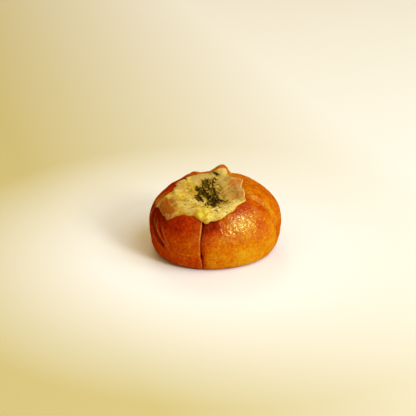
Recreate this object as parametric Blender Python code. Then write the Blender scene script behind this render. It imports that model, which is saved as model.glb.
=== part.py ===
"""A garlic cheese bun at life size, in metres, +Z up, with its front towards -Y.

A round soft bun with a glazed crust is scored through its crown and down its side, so that five wedges
stand round a shallow dish. Melted cheese fills the dish and runs over the shoulders, and a pinch of dried
herb lies on it. Directions round the bun are angles from the front, positive towards the right.
"""

import math
import random
from collections import namedtuple

import bmesh
import bpy
import numpy as np
from mathutils import Vector
from mathutils.bvhtree import BVHTree

# The bun before it is scored: a flat foot, a round waist and a domed crown, round an axis of its own.
AXIS_X, AXIS_Y = -0.0008, -0.0008
BUN_RADIUS = 0.0535
FOOT_RADIUS = 0.0440
WAIST_HEIGHT = 0.0230
CROWN_HEIGHT = 0.0600
CROWN_ROUNDNESS = 2.13
FLANK_ROUNDNESS = 2.05
# The outline isn't a true circle: (waves round the bun, share of the radius, angle of a crest).
OUTLINE_WAVES = ((1, 0.010, 163.0), (2, 0.020, 113.0), (3, 0.016, 77.0))

# The dish that the crown sinks into, with its reach on each side of its lowest point.
DISH_X, DISH_Y = -0.0042, -0.0164
DISH_DEPTH = 0.0130
DISH_LEFT, DISH_RIGHT = 0.0400, 0.0340
DISH_FRONT, DISH_BACK = 0.0320, 0.0450
DISH_TOP_FADE = (0.0280, 0.0420)

# One of the back wedges turns its tip up into a peak.
PEAK_X, PEAK_Y, PEAK_RISE = 0.0072, 0.0241, 0.0065
PEAK_LEFT, PEAK_RIGHT = 0.0104, 0.0056
PEAK_FRONT, PEAK_BACK = 0.0090, 0.0120
PEAK_FULLNESS = 2.0
# Swells and slumps of the crown's shoulders: angle, spread in degrees, radius, width and rise.
SWELLS = (
    (-115.0, 28.0, 0.0370, 0.0120, -0.0014),
    (-124.0, 7.0, 0.0420, 0.0050, 0.0009),
    (-148.0, 7.0, 0.0335, 0.0050, 0.0034),
    (-162.0, 8.0, 0.0295, 0.0060, -0.0008),
    (178.0, 10.0, 0.0275, 0.0060, -0.0007),
    (131.0, 14.0, 0.0360, 0.0090, 0.0005),
)

# A cut between two wedges: the angle it has at the waist, how many degrees it turns by the middle of the
# crown, how far it wavers and how often, how wide it gapes below and above, how deep it is on the crown,
# how much of the roll stays there, and the depth and width of the crust's roll on its left and right.
Cut = namedtuple("Cut", "angle lean waver period low high above roll_above left right")
CUTS = (
    Cut(-12.0, 0.0, -0.0005, 0.036, 0.0004, 0.0013, 0.0060, 1.0, (0.0004, 0.0010), (0.0024, 0.0026)),
    Cut(71.0, -38.0, 0.0030, 0.048, 0.0006, 0.0002, 0.0018, 0.4, (0.0018, 0.0040), (0.0012, 0.0030)),
    Cut(152.0, 8.0, 0.0012, 0.044, 0.0005, 0.0012, 0.0060, 1.0, (0.0018, 0.0034), (0.0012, 0.0030)),
    Cut(219.0, -10.0, -0.0012, 0.050, 0.0006, 0.0014, 0.0060, 1.0, (0.0012, 0.0028), (0.0020, 0.0036)),
    Cut(279.0, 6.0, 0.0010, 0.044, 0.0006, 0.0010, 0.0050, 0.8, (0.0018, 0.0034), (0.0014, 0.0026)),
)
CUT_DEPTH = 0.0120
CUT_FOOT_FADE = 0.0050
CUT_START, CUT_FULL = 0.0040, 0.0160
GAPE_HEIGHTS = (0.0340, 0.0410)
SLIT_HALF = 0.0003
# The front cut has opened into a small hole low on the side.
HOLE_CUT, HOLE_HEIGHT, HOLE_TALL, HOLE_GAPE = 0, 0.0140, 0.0028, 0.0011
CORE_HEIGHT = 0.0200
BESIDE_CUT = (0.0, 0.0003, 0.0009, 0.0018, 0.0032, 0.0055)

# Dents that the oven and the hand left: angle, height, spread, depth.
DENTS = (
    (-3.0, 0.0400, 0.0048, 0.0030),
    (8.0, 0.0430, 0.0050, 0.0014),
    (-74.0, 0.0230, 0.0090, 0.0012),
    (96.0, 0.0120, 0.0120, 0.0010),
    (190.0, 0.0250, 0.0130, 0.0010),
)
# Valleys in the crown, under the cheese too: both ends, the width and the depth.
VALLEYS = (((0.0038, -0.0174), (0.0438, -0.0229), 0.0034, 0.0016),)

# The melted cheese: an uneven disc round its own middle, whose edge has this angle and reach in turn.
CHEESE_X, CHEESE_Y = -0.0082, -0.0104
CHEESE_EDGE = (
    (-176.0, 0.0292), (-168.0, 0.0286), (-161.0, 0.0298), (-153.0, 0.0292), (-144.0, 0.0281), (-135.0, 0.0282),
    (-126.0, 0.0282), (-112.0, 0.0266), (-103.0, 0.0262), (-97.0, 0.0278), (-91.5, 0.0335), (-87.5, 0.0382),
    (-81.0, 0.0387), (-70.0, 0.0376), (-61.5, 0.0379), (-55.0, 0.0386), (-50.0, 0.0383), (-44.5, 0.0367),
    (-40.0, 0.0346), (-34.0, 0.0337), (-27.0, 0.0330), (-17.0, 0.0323), (-12.0, 0.0334), (-7.5, 0.0350),
    (-3.0, 0.0357), (2.0, 0.0366), (7.5, 0.0362), (14.0, 0.0358), (27.0, 0.0357), (34.0, 0.0349),
    (42.0, 0.0341), (51.0, 0.0335), (59.5, 0.0340), (66.5, 0.0347), (75.0, 0.0327), (90.0, 0.0303),
    (100.5, 0.0295), (108.0, 0.0314), (115.0, 0.0344), (120.0, 0.0339), (127.0, 0.0311), (138.0, 0.0304),
    (145.0, 0.0328), (150.0, 0.0341), (155.0, 0.0336), (161.0, 0.0316), (168.0, 0.0296),
)
EDGE_WAVES = ((17, 0.00045, 20.0), (29, 0.00030, 75.0), (41, 0.00022, 10.0))
CHEESE_LIP = 0.0016
LIP_RUN = 0.0026
SEAT_DEPTH = 0.0034
SEAT_INNER, SEAT_OUTER = 0.62, 0.94
LUMP_HEIGHT = 0.0010
LUMP_SIZE = 0.0068
LUMP_WAVES = ((10.0, 1.0, 0.3), (75.0, 1.27, 1.9), (130.0, 0.81, 4.1), (200.0, 1.61, 2.6))

# The pinch of herb: a low uneven heap with curled slips of leaf on it, and a few strewn on the cheese, each
# at its place from the heap's middle with its length and its turn in degrees.
HEAP_X, HEAP_Y = -0.0050, -0.0100
HEAP_LONG, HEAP_WIDE, HEAP_HIGH, HEAP_TURN = 0.0146, 0.0108, 0.0020, -58.0
HEAP_WAVES = ((3, 0.10, 25.0), (5, 0.08, 60.0))
HEAP_GAP, HEAP_RIM, CORE_SHARE = 0.0006, 0.0004, 0.78
LEAVES_ON_HEAP = 48
GOLDEN_TURN = 2.399963
LEAF_LENGTHS, LEAF_TIP_LIFTS = (0.0048, 0.0085), (0.0002, 0.0018)
LEAF_WIDTH, LEAF_THICKNESS, LEAF_BOW, LEAF_SPLAY = 0.0011, 0.0008, 0.0010, 75.0
LEAF_BED, LEAF_SINK = 0.0003, 0.0002
STREWN = (
    (-0.0190, 0.0215, 0.0045, 60.0),
    (0.0052, 0.0240, 0.0045, 10.0),
    (0.0100, 0.0130, 0.0035, 100.0),
    (-0.0198, -0.0120, 0.0030, 35.0),
    (0.0092, -0.0150, 0.0035, 130.0),
    (0.0040, -0.0215, 0.0035, 60.0),
    (-0.0015, -0.0300, 0.0028, 95.0),
    (0.0150, -0.0210, 0.0030, 150.0),
    (0.0160, 0.0040, 0.0035, 20.0),
    (-0.0150, 0.0100, 0.0030, 80.0),
)

CLEARANCE = 0.0003
CURVED_CLEARANCE = 0.0007
BUN_STEPS, BUN_RINGS = 96, 33
CHEESE_STEPS, CHEESE_RINGS, UNDER_RINGS = 84, 14, 10
SEED = 11


def smooth_step(value, low, high):
    """0 below low, 1 above high, and an S between them."""
    share = np.clip((value - low) / (high - low), 0.0, 1.0)
    return share * share * (3.0 - 2.0 * share)


def turn_between(angle, other):
    """The signed angle from other to angle, from minus half a turn to half a turn."""
    return (angle - other + math.pi) % (2.0 * math.pi) - math.pi


def bell(value, middle, spread):
    return np.exp(-(((value - middle) / spread) ** 2))


def around_axis(x, y):
    """Distance and angle of a place from the bun's own axis."""
    return np.hypot(x - AXIS_X, y - AXIS_Y), np.arctan2(x - AXIS_X, -(y - AXIS_Y))


def outline_share(angle):
    """How far the bun's outline stands from a true circle, as a share of the radius, at an angle."""
    share = np.ones_like(angle)
    for waves, depth, crest in OUTLINE_WAVES:
        share = share + depth * np.cos(waves * (angle - math.radians(crest)))
    return share


def dome_height(share):
    """Height of the unscored crown at this share of the radius."""
    level = np.clip(1.0 - np.clip(share, 0.0, 1.0) ** CROWN_ROUNDNESS, 0.0, 1.0)
    return WAIST_HEIGHT + (CROWN_HEIGHT - WAIST_HEIGHT) * level ** (1.0 / CROWN_ROUNDNESS)


def dish_depth(x, y):
    reach_x = np.where(x < DISH_X, DISH_LEFT, DISH_RIGHT)
    reach_y = np.where(y < DISH_Y, DISH_FRONT, DISH_BACK)
    away = ((x - DISH_X) / reach_x) ** 2 + ((y - DISH_Y) / reach_y) ** 2
    return DISH_DEPTH * np.clip(1.0 - away, 0.0, 1.0) ** 2


def peak_rise(x, y):
    reach_x = np.where(x < PEAK_X, PEAK_LEFT, PEAK_RIGHT)
    reach_y = np.where(y < PEAK_Y, PEAK_FRONT, PEAK_BACK)
    across = np.clip(1.0 - np.abs((x - PEAK_X) / reach_x) ** PEAK_FULLNESS, 0.0, 1.0)
    along = np.clip(1.0 - ((y - PEAK_Y) / reach_y) ** 2, 0.0, 1.0)
    return PEAK_RISE * across * along


def valley_depth(x, y):
    total = np.zeros_like(x)
    for (x0, y0), (x1, y1), width, depth in VALLEYS:
        length = math.hypot(x1 - x0, y1 - y0)
        along = ((x - x0) * (x1 - x0) + (y - y0) * (y1 - y0)) / length**2
        off = ((x - x0) * (y1 - y0) - (y - y0) * (x1 - x0)) / length
        ends = smooth_step(along, -0.1, 0.2) * (1.0 - smooth_step(along, 0.8, 1.1))
        total = total + depth * ends * bell(off, 0.0, width)
    return total


def crown_change(x, y):
    """What the dish, the peak, the swells and the valleys add to the dome's height at a place."""
    radius, angle = around_axis(x, y)
    total = peak_rise(x, y) - dish_depth(x, y) - valley_depth(x, y)
    for place, spread, ring, width, rise in SWELLS:
        aside = np.degrees(turn_between(angle, math.radians(place)))
        total = total + rise * bell(aside, 0.0, spread) * bell(radius, ring, width)
    return total


def crown_weight(height):
    """1 on the crown and 0 from the waist down, so that the dish leaves the flank alone."""
    return smooth_step(height, *DISH_TOP_FADE)


def crown_height(x, y):
    """Height of the closed crown, dish and all, before it is scored: the cheese lies on this."""
    radius, angle = around_axis(x, y)
    dome = dome_height(radius / (BUN_RADIUS * outline_share(angle)))
    return dome + crown_change(x, y) * crown_weight(dome)


def crown_normal(x, y):
    """The closed crown's upward normal, by differences over a tenth of a millimetre."""
    step = 0.0001
    slope_x = (crown_height(x + step, y) - crown_height(x - step, y)) / (2.0 * step)
    slope_y = (crown_height(x, y + step) - crown_height(x, y - step)) / (2.0 * step)
    normal = np.stack([-slope_x, -slope_y, np.ones_like(slope_x)], axis=-1)
    return normal / np.linalg.norm(normal, axis=-1, keepdims=True)


def cheese_reach(angle):
    """Distance of the cheese's edge from the cheese's middle: a smooth line through the edge's points."""
    places = np.radians([place for place, _ in CHEESE_EDGE])
    reaches = np.array([reach for _, reach in CHEESE_EDGE])
    turn = (angle - places[0]) % (2.0 * math.pi) + places[0]
    before = np.searchsorted(places, turn, side="right") - 1
    knots = np.concatenate([places[-2:] - 2.0 * math.pi, places, places[:3] + 2.0 * math.pi])
    values = np.concatenate([reaches[-2:], reaches, reaches[:3]])
    slopes = (values[2:] - values[:-2]) / (knots[2:] - knots[:-2])
    near, far = before + 2, before + 3
    gap = knots[far] - knots[near]
    share = (turn - knots[near]) / gap
    bulge_near = share * (1.0 - share) ** 2 * gap * slopes[near - 1]
    bulge_far = share**2 * (share - 1.0) * gap * slopes[far - 1]
    blend = share * share * (3.0 - 2.0 * share)
    reach = values[near] + (values[far] - values[near]) * blend + bulge_near + bulge_far
    for waves, depth, crest in EDGE_WAVES:
        reach = reach + depth * np.cos(waves * (angle - math.radians(crest)))
    return reach


def cheese_share(x, y):
    """0 in the middle of the cheese and 1 at its edge."""
    angle = np.arctan2(x - CHEESE_X, -(y - CHEESE_Y))
    return np.hypot(x - CHEESE_X, y - CHEESE_Y) / cheese_reach(angle)


def seat_depth(x, y):
    """How far the crumb has sunk below the closed crown under the cheese."""
    return SEAT_DEPTH * (1.0 - smooth_step(cheese_share(x, y), SEAT_INNER, SEAT_OUTER))


def lumps(x, y):
    """Soft bumps in the melted cheese, from waves that cross at uneven angles."""
    total = np.zeros_like(x)
    for turn, scale, lead in LUMP_WAVES:
        way = math.radians(turn)
        along = (x * math.cos(way) + y * math.sin(way)) / (LUMP_SIZE * scale)
        total = total + np.sin(2.0 * math.pi * along + lead + 1.5 * np.sin(along * 2.1 + lead))
    return LUMP_HEIGHT * total / len(LUMP_WAVES)


def clear_scene():
    for obj in list(bpy.data.objects):
        bpy.data.objects.remove(obj)


def plain_material(name, colour, roughness):
    material = bpy.data.materials.new(name)
    material.use_nodes = True
    shader = material.node_tree.nodes["Principled BSDF"]
    shader.inputs["Base Color"].default_value = (*colour, 1.0)
    shader.inputs["Roughness"].default_value = roughness
    shader.inputs["Metallic"].default_value = 0.0
    material.diffuse_color = (*colour, 1.0)
    return material


def add_object(name, form, material):
    """Makes the bmesh an object of this name, with its faces turned outwards and shaded smooth."""
    bmesh.ops.recalc_face_normals(form, faces=form.faces)
    if form.calc_volume(signed=True) < 0.0:
        bmesh.ops.reverse_faces(form, faces=form.faces)
    mesh = bpy.data.meshes.new(name)
    form.to_mesh(mesh)
    form.free()
    mesh.materials.append(material)
    mesh.shade_smooth()
    obj = bpy.data.objects.new(name, mesh)
    bpy.context.scene.collection.objects.link(obj)
    return obj


def turned(profile, steps):
    """A closed bmesh spun about the Z axis from (radius, height) points that begin and end on the axis."""
    form = bmesh.new()
    line = [form.verts.new((radius, 0.0, height)) for radius, height in profile]
    edges = [form.edges.new(pair) for pair in zip(line, line[1:])]
    bmesh.ops.spin(
        form,
        geom=line + edges,
        cent=(0.0, 0.0, 0.0),
        axis=(0.0, 0.0, 1.0),
        angle=2.0 * math.pi,
        steps=steps,
        use_merge=True,
    )
    bmesh.ops.remove_doubles(form, verts=form.verts, dist=1e-7)
    return form


def places(form):
    return np.array([vertex.co for vertex in form.verts], float).reshape(-1, 3)


def move_to(form, points):
    for vertex, point in zip(form.verts, points):
        vertex.co = point


def meridians(steps):
    """Each meridian's angle, close together beside the cuts, with the wedge it is in and its share of it."""
    starts = [math.radians(cut.angle) for cut in CUTS]
    ends = starts[1:] + [starts[0] + 2.0 * math.pi]
    margin = BESIDE_CUT[-1] / BUN_RADIUS
    spans = [end - start - 2.0 * margin for start, end in zip(starts, ends)]
    spare = steps - len(CUTS) * (2 * len(BESIDE_CUT) - 1)
    bounds = [round(spare * sum(spans[:number]) / sum(spans)) for number in range(len(CUTS) + 1)]
    angles, wedges, shares = [], [], []
    for wedge, (start, end) in enumerate(zip(starts, ends)):
        between = bounds[wedge + 1] - bounds[wedge]
        inner = [start + margin + (end - start - 2.0 * margin) * (n + 1) / (between + 1) for n in range(between)]
        mine = [start + offset / BUN_RADIUS for offset in BESIDE_CUT] + inner
        mine += [end - offset / BUN_RADIUS for offset in BESIDE_CUT[:0:-1]]
        angles += mine
        wedges += [wedge] * len(mine)
        shares += [(angle - start) / (end - start) for angle in mine]
    return np.array(angles), np.array(wedges), np.array(shares)


def bun_profile(rings):
    """The unscored bun's outline, from the middle of the foot round the waist to the top of the crown."""
    foot = [(FOOT_RADIUS * share, 0.0) for share in (0.0, 0.5, 0.9)]
    flank_rings = round(rings * 0.28)
    flank = []
    for number in range(flank_rings):
        turn = 0.5 * math.pi * number / flank_rings
        out = math.sin(turn) ** (2.0 / FLANK_ROUNDNESS)
        down = math.cos(turn) ** (2.0 / FLANK_ROUNDNESS)
        flank.append((FOOT_RADIUS + (BUN_RADIUS - FOOT_RADIUS) * out, WAIST_HEIGHT * (1.0 - down)))
    crown_rings = rings - len(foot) - flank_rings
    crown = []
    for number in range(crown_rings + 1):
        share = 0.0 if number == crown_rings else math.cos(0.5 * math.pi * number / crown_rings) ** 0.9
        crown.append((BUN_RADIUS * share, float(dome_height(np.array(share)))))
    return foot + flank + crown


def stray(cut, height, radius):
    """How far round the bun, in radians, a cut lies from its own angle at a height and a radius."""
    above = smooth_step(height, WAIST_HEIGHT, CROWN_HEIGHT - 0.010)
    lean = math.radians(cut.lean) * above * np.clip(1.0 - radius / BUN_RADIUS, 0.0, 1.0)
    return lean + cut.waver / BUN_RADIUS * np.cos(2.0 * math.pi * (height - CROWN_HEIGHT) / cut.period)


def gape(number, height):
    """Half the width of a cut's slit at a height."""
    cut = CUTS[number]
    width = cut.low + (cut.high - cut.low) * smooth_step(height, *GAPE_HEIGHTS)
    if number == HOLE_CUT:
        width = width + HOLE_GAPE * bell(height, HOLE_HEIGHT, HOLE_TALL)
    return 0.5 * width


def scored(angle, wedge, share, height, radius):
    """Angles with the cuts' lean, waver and gape, and how far the crust sinks into the cuts."""
    shift = np.zeros_like(angle)
    sink = np.zeros_like(angle)
    across_share = smooth_step(share, 0.08, 0.92)
    for number, cut in enumerate(CUTS):
        after = wedge == number
        before = wedge == (number - 1) % len(CUTS)
        weight = np.where(after, 1.0 - across_share, 0.0) + np.where(before, across_share, 0.0)
        across = turn_between(angle, math.radians(cut.angle)) * BUN_RADIUS
        side = np.where(np.abs(across) < 1e-7, 0.0, np.sign(across))
        opened = side * (gape(number, height) - SLIT_HALF) * np.exp(-np.abs(across) / 0.002)
        shift += weight * stray(cut, height, radius) + np.where(after | before, opened / BUN_RADIUS, 0.0)
        crown = crown_weight(height)
        depth, width = (np.where(side < 0.0, left, right) for left, right in zip(cut.left, cut.right))
        rolled = depth * np.exp(-np.abs(across) / width) * (1.0 + (cut.roll_above - 1.0) * crown)
        floor = CUT_DEPTH + (cut.above - CUT_DEPTH) * crown
        rolled = np.where(side == 0.0, floor, rolled)
        sink = np.maximum(sink, np.where(after | before, rolled, 0.0))
    return angle + shift, sink * smooth_step(height, 0.0, CUT_FOOT_FADE) * smooth_step(radius, CUT_START, CUT_FULL)


def bun_points(form, steps):
    """The place of each vertex of the turned bun once it is shaped, scored and sunk under the cheese."""
    start = places(form)
    radius = np.hypot(start[:, 0], start[:, 1])
    height = start[:, 2]
    turn = np.arctan2(start[:, 1], start[:, 0]) % (2.0 * math.pi)
    line = np.rint(turn / (2.0 * math.pi / steps)).astype(int) % steps
    angle, wedge, share = (values[line] for values in meridians(steps))
    angle, sink = scored(angle, wedge, share, height, radius)
    radius = radius * outline_share(angle)
    x, y = AXIS_X + radius * np.sin(angle), AXIS_Y - radius * np.cos(angle)
    z = height + (crown_change(x, y) - seat_depth(x, y)) * crown_weight(height)
    for place, level, spread, depth in DENTS:
        aside = turn_between(angle, math.radians(place)) * radius
        near = np.exp(-(aside**2 + (z - level) ** 2) / spread**2)
        sink = sink + depth * near * smooth_step(radius, 0.020, 0.030)
    points = np.stack([x, y, z], axis=1)
    inward = np.array([AXIS_X, AXIS_Y, CORE_HEIGHT]) - points
    inward[:, 2] = np.minimum(inward[:, 2], 0.0)
    inward /= np.maximum(np.linalg.norm(inward, axis=1, keepdims=True), 1e-9)
    points += inward * sink[:, None]
    points[height <= 0.0, 2] = 0.0
    return points


def make_bun(material):
    form = turned(bun_profile(BUN_RINGS), BUN_STEPS)
    move_to(form, bun_points(form, BUN_STEPS))
    return add_object("bun", form, material)


def lens_profile(top_rings, under_rings):
    """A flat lens of unit radius: its upper points lie above zero height, and its under points below."""
    over = [(math.sin(0.5 * math.pi * n / top_rings), 1.0) for n in range(top_rings)]
    under = [(math.sin(0.5 * math.pi * n / under_rings), -1.0) for n in range(under_rings)]
    return over + [(1.0, 0.0)] + under[::-1]


def cheese_surface(x, y):
    """The places on the cheese's upper surface above the given places."""
    angle = np.arctan2(x - CHEESE_X, -(y - CHEESE_Y))
    reach = cheese_reach(angle)
    inside = np.maximum(reach - np.hypot(x - CHEESE_X, y - CHEESE_Y), 0.0)
    rounded = np.sqrt(np.clip(1.0 - np.clip(1.0 - inside / LIP_RUN, 0.0, 1.0) ** 2, 0.0, 1.0))
    lift = CLEARANCE + CHEESE_LIP * rounded + lumps(x, y) * smooth_step(inside, 0.0, 0.006)
    return np.stack([x, y, crown_height(x, y)], axis=-1) + crown_normal(x, y) * lift[..., None]


def cheese_points(form):
    """The place of each vertex of the lens once it lies on the crown as melted cheese."""
    start = places(form)
    share = np.hypot(start[:, 0], start[:, 1])
    turn = np.arctan2(start[:, 1], start[:, 0])
    side = start[:, 2][:, None]
    reach = cheese_reach(turn)
    x = CHEESE_X + share * reach * np.sin(turn)
    y = CHEESE_Y - share * reach * np.cos(turn)
    over = cheese_surface(x, y)
    gap = CLEARANCE + (CURVED_CLEARANCE - CLEARANCE) * smooth_step((1.0 - share) * reach, 0.0, LIP_RUN)
    under = np.stack([x, y, crown_height(x, y)], axis=1) + crown_normal(x, y) * gap[:, None]
    under[:, 2] -= seat_depth(x, y)
    return np.where(side < -0.5, under, over)


def make_cheese(material):
    form = turned(lens_profile(CHEESE_RINGS, UNDER_RINGS), CHEESE_STEPS)
    move_to(form, cheese_points(form))
    return add_object("cheese", form, material)


def height_of(obj):
    """A function that gives the height of the object's upper surface at each place."""
    tree = BVHTree.FromPolygons([v.co for v in obj.data.vertices], [p.vertices for p in obj.data.polygons])

    def height(x, y):
        hits = [tree.ray_cast(Vector((px, py, 1.0)), Vector((0.0, 0.0, -1.0)))[0] for px, py in zip(x, y)]
        return np.array([hit.z for hit in hits])

    return height


def leaf(middle, length, turn, bow, tip_lift, height_at):
    """A bmesh of one slip of leaf: a flat bowed spindle whose middle line follows height_at up to its tip."""
    form = turned([(0.0, -0.5), (0.4, -0.3), (0.5, 0.0), (0.4, 0.3), (0.0, 0.5)], 4)
    start = places(form)
    along = start[:, 2] * length
    bowed = bow * (1.0 - (2.0 * start[:, 2]) ** 2)
    across = bowed + start[:, 0] * LEAF_WIDTH
    line_x = middle[0] + along * math.cos(turn) - bowed * math.sin(turn)
    line_y = middle[1] + along * math.sin(turn) + bowed * math.cos(turn)
    x = middle[0] + along * math.cos(turn) - across * math.sin(turn)
    y = middle[1] + along * math.sin(turn) + across * math.cos(turn)
    z = height_at(line_x, line_y) + start[:, 1] * LEAF_THICKNESS + tip_lift * (0.5 + start[:, 2])
    move_to(form, np.stack([x, y, z], axis=1))
    return form


def heap_place(along, across):
    """The place that lies along and across the heap's length from its middle."""
    way = math.radians(HEAP_TURN)
    x = HEAP_X + along * math.cos(way) - across * math.sin(way)
    y = HEAP_Y + along * math.sin(way) + across * math.cos(way)
    return x, y


def heap_share(x, y):
    """0 in the middle of the herb heap and 1 at its edge."""
    way = math.radians(HEAP_TURN)
    along = (x - HEAP_X) * math.cos(way) + (y - HEAP_Y) * math.sin(way)
    across = (y - HEAP_Y) * math.cos(way) - (x - HEAP_X) * math.sin(way)
    return np.hypot(along / HEAP_LONG, across / HEAP_WIDE)


def heap_rise(x, y):
    """Height of the top of the heap's core over the cheese, and just over the cheese beyond it."""
    level = np.clip(1.0 - (heap_share(x, y) / CORE_SHARE) ** 2, 0.0, 1.0)
    return HEAP_GAP + HEAP_HIGH * level


def heap_core(cheese_at):
    """A bmesh of the heap's core: a thin lens that swells in the middle, clear of the cheese."""
    form = turned(lens_profile(5, 3), 20)
    start = places(form)
    share = np.hypot(start[:, 0], start[:, 1])
    turn = np.arctan2(start[:, 1], start[:, 0])
    for waves, depth, crest in HEAP_WAVES:
        share = share * (1.0 + depth * np.cos(waves * (turn - math.radians(crest))))
    reach = CORE_SHARE * share
    x, y = heap_place(reach * HEAP_LONG * np.cos(turn), reach * HEAP_WIDE * np.sin(turn))
    over = cheese_at(x, y) + heap_rise(x, y) + HEAP_RIM
    z = np.where(start[:, 2] < -0.5, cheese_at(x, y) + HEAP_GAP, over)
    move_to(form, np.stack([x, y, z], axis=1))
    return form


def keep_largest_body(mesh):
    """Drops loose scraps and fills sealed hollows: only the largest closed body of the mesh stays."""
    form = bmesh.new()
    form.from_mesh(mesh)
    bodies, seen = [], set()
    for seed in form.faces:
        if seed in seen:
            continue
        body, front = {seed}, [seed]
        while front:
            linked = {face for edge in front.pop().edges for face in edge.link_faces} - body
            body |= linked
            front += linked
        seen |= body
        bodies.append(body)
    largest = max(bodies, key=len)
    bmesh.ops.delete(form, geom=[face for face in form.faces if face not in largest], context="FACES")
    form.to_mesh(mesh)
    form.free()


def fuse(base, forms, name):
    """Joins the small forms to the base object by one union, and removes them."""
    group = bpy.data.collections.new(name)
    bpy.context.scene.collection.children.link(group)
    for number, form in enumerate(forms):
        small = add_object(f"{name}_{number}", form, base.data.materials[0])
        bpy.context.scene.collection.objects.unlink(small)
        group.objects.link(small)
    union = base.modifiers.new("joined", "BOOLEAN")
    union.operation, union.solver = "UNION", "MANIFOLD"
    union.operand_type, union.collection = "COLLECTION", group
    graph = bpy.context.evaluated_depsgraph_get()
    joined = bpy.data.meshes.new_from_object(base.evaluated_get(graph))
    keep_largest_body(joined)
    base.modifiers.clear()
    base.data = joined
    for small in list(group.objects):
        bpy.data.objects.remove(small)
    bpy.data.collections.remove(group)
    return base


def make_herbs(material, cheese_at):
    """The heap: its core with slips fused on, each rooted towards the middle with its tip splayed out."""
    rng = random.Random(SEED)

    def bedded(x, y):
        return cheese_at(x, y) + heap_rise(x, y) + LEAF_BED

    slips = []
    for number in range(LEAVES_ON_HEAP):
        out = math.sqrt((number + 0.5) / LEAVES_ON_HEAP)
        turn = GOLDEN_TURN * number
        middle = heap_place(out * HEAP_LONG * math.cos(turn), out * HEAP_WIDE * math.sin(turn))
        length, splay = rng.uniform(*LEAF_LENGTHS), rng.uniform(-LEAF_SPLAY, LEAF_SPLAY)
        way = math.radians(HEAP_TURN + splay) + turn
        slips.append(leaf(middle, length, way, rng.uniform(-LEAF_BOW, LEAF_BOW), rng.uniform(*LEAF_TIP_LIFTS), bedded))
    return fuse(add_object("herbs", heap_core(cheese_at), material), slips, "slips")


def strew(cheese, cheese_at):
    """Fuses the few strewn slips of leaf to the cheese, half sunk in it."""

    def sunk(x, y):
        return cheese_at(x, y) + 0.5 * LEAF_THICKNESS - LEAF_SINK

    slips = [
        leaf((HEAP_X + x, HEAP_Y + y), length, math.radians(turn), 0.3 * LEAF_BOW, 0.0, sunk)
        for x, y, length, turn in STREWN
    ]
    return fuse(cheese, slips, "strewn")


def main():
    clear_scene()
    crust = plain_material("crust", (0.45, 0.13, 0.02), 0.35)
    melted = plain_material("cheese", (0.75, 0.50, 0.12), 0.30)
    dried = plain_material("herbs", (0.06, 0.06, 0.01), 0.60)
    make_bun(crust)
    cheese = make_cheese(melted)
    cheese_at = height_of(cheese)
    strew(cheese, cheese_at)
    make_herbs(dried, cheese_at)


main()
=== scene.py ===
"""The looks of a garlic cheese bun: glazed crust, melted cheese and a pinch of dried herb.

Lengths are in metres, +Z is up and the front is towards -Y. Directions round the bun are angles from its
front, positive towards the right. The bun's own dimensions are those of its solids, drawn here far finer.
"""

import itertools
import math
import random
from collections import namedtuple

import bmesh
import bpy
import numpy as np
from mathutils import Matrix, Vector
from mathutils.bvhtree import BVHTree


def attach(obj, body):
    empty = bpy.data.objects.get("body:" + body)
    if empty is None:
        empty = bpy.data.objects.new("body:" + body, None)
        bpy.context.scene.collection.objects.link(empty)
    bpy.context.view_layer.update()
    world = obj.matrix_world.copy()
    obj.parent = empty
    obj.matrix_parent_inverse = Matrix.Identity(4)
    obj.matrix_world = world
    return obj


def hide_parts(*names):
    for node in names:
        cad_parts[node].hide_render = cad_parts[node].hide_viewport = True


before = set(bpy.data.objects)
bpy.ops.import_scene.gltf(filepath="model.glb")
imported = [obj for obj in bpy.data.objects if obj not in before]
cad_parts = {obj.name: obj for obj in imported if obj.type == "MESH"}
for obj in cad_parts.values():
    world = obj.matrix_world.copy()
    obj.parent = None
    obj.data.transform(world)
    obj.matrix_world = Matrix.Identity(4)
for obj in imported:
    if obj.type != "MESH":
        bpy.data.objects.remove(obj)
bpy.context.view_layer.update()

# The camera looks straight at the front from somewhat above: degrees, distance, where it aims and its lens.
VIEW_ELEVATION, VIEW_DISTANCE, VIEW_AIM = 23.7, 0.95, (-0.0058, 0.0112, 0.0287)
LENS_MM, SENSOR_MM = 99.5, 36.0

# The bun before it is scored: a flat foot, a round waist and a domed crown, round an axis of its own.
AXIS = (-0.0008, -0.0008)
BUN_RADIUS, FOOT_RADIUS = 0.0535, 0.0440
WAIST_HEIGHT, CROWN_HEIGHT = 0.0230, 0.0600
CROWN_ROUNDNESS, FLANK_ROUNDNESS = 2.13, 2.05
# The outline isn't a true circle: how many waves go round it, their share of the radius, a crest's angle.
OUTLINE_WAVES = ((1, 0.010, 163.0), (2, 0.020, 113.0), (3, 0.016, 77.0))

# The dish that the crown sinks into: its lowest point, its reach on each side of that, and between which
# heights of the dome it and the crown's other changes set in.
DISH_X, DISH_Y, DISH_DEPTH = -0.0042, -0.0164, 0.0130
DISH_LEFT, DISH_RIGHT, DISH_FRONT, DISH_BACK = 0.0400, 0.0340, 0.0320, 0.0450
DISH_TOP_FADE = (0.0280, 0.0420)

# One of the back wedges turns its tip up into a peak: its place, its reach on each side and how soft it ends.
PEAK_X, PEAK_Y, PEAK_RISE = 0.0072, 0.0241, 0.0065
PEAK_LEFT, PEAK_RIGHT, PEAK_FRONT, PEAK_BACK = 0.0122, 0.0065, 0.0103, 0.0138
PEAK_FOOT = 0.45
# Swells and slumps of the crown's shoulders: angle, spread in degrees, radius, width and rise.
SWELLS = (
    (-115.0, 28.0, 0.0370, 0.0120, -0.0014),
    (-124.0, 7.0, 0.0420, 0.0050, 0.0009),
    (-145.5, 10.0, 0.0335, 0.0055, 0.0028),
    (-162.0, 8.0, 0.0295, 0.0060, -0.0008),
    (178.0, 10.0, 0.0275, 0.0060, -0.0007),
    (131.0, 14.0, 0.0360, 0.0090, 0.0005),
)

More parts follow.
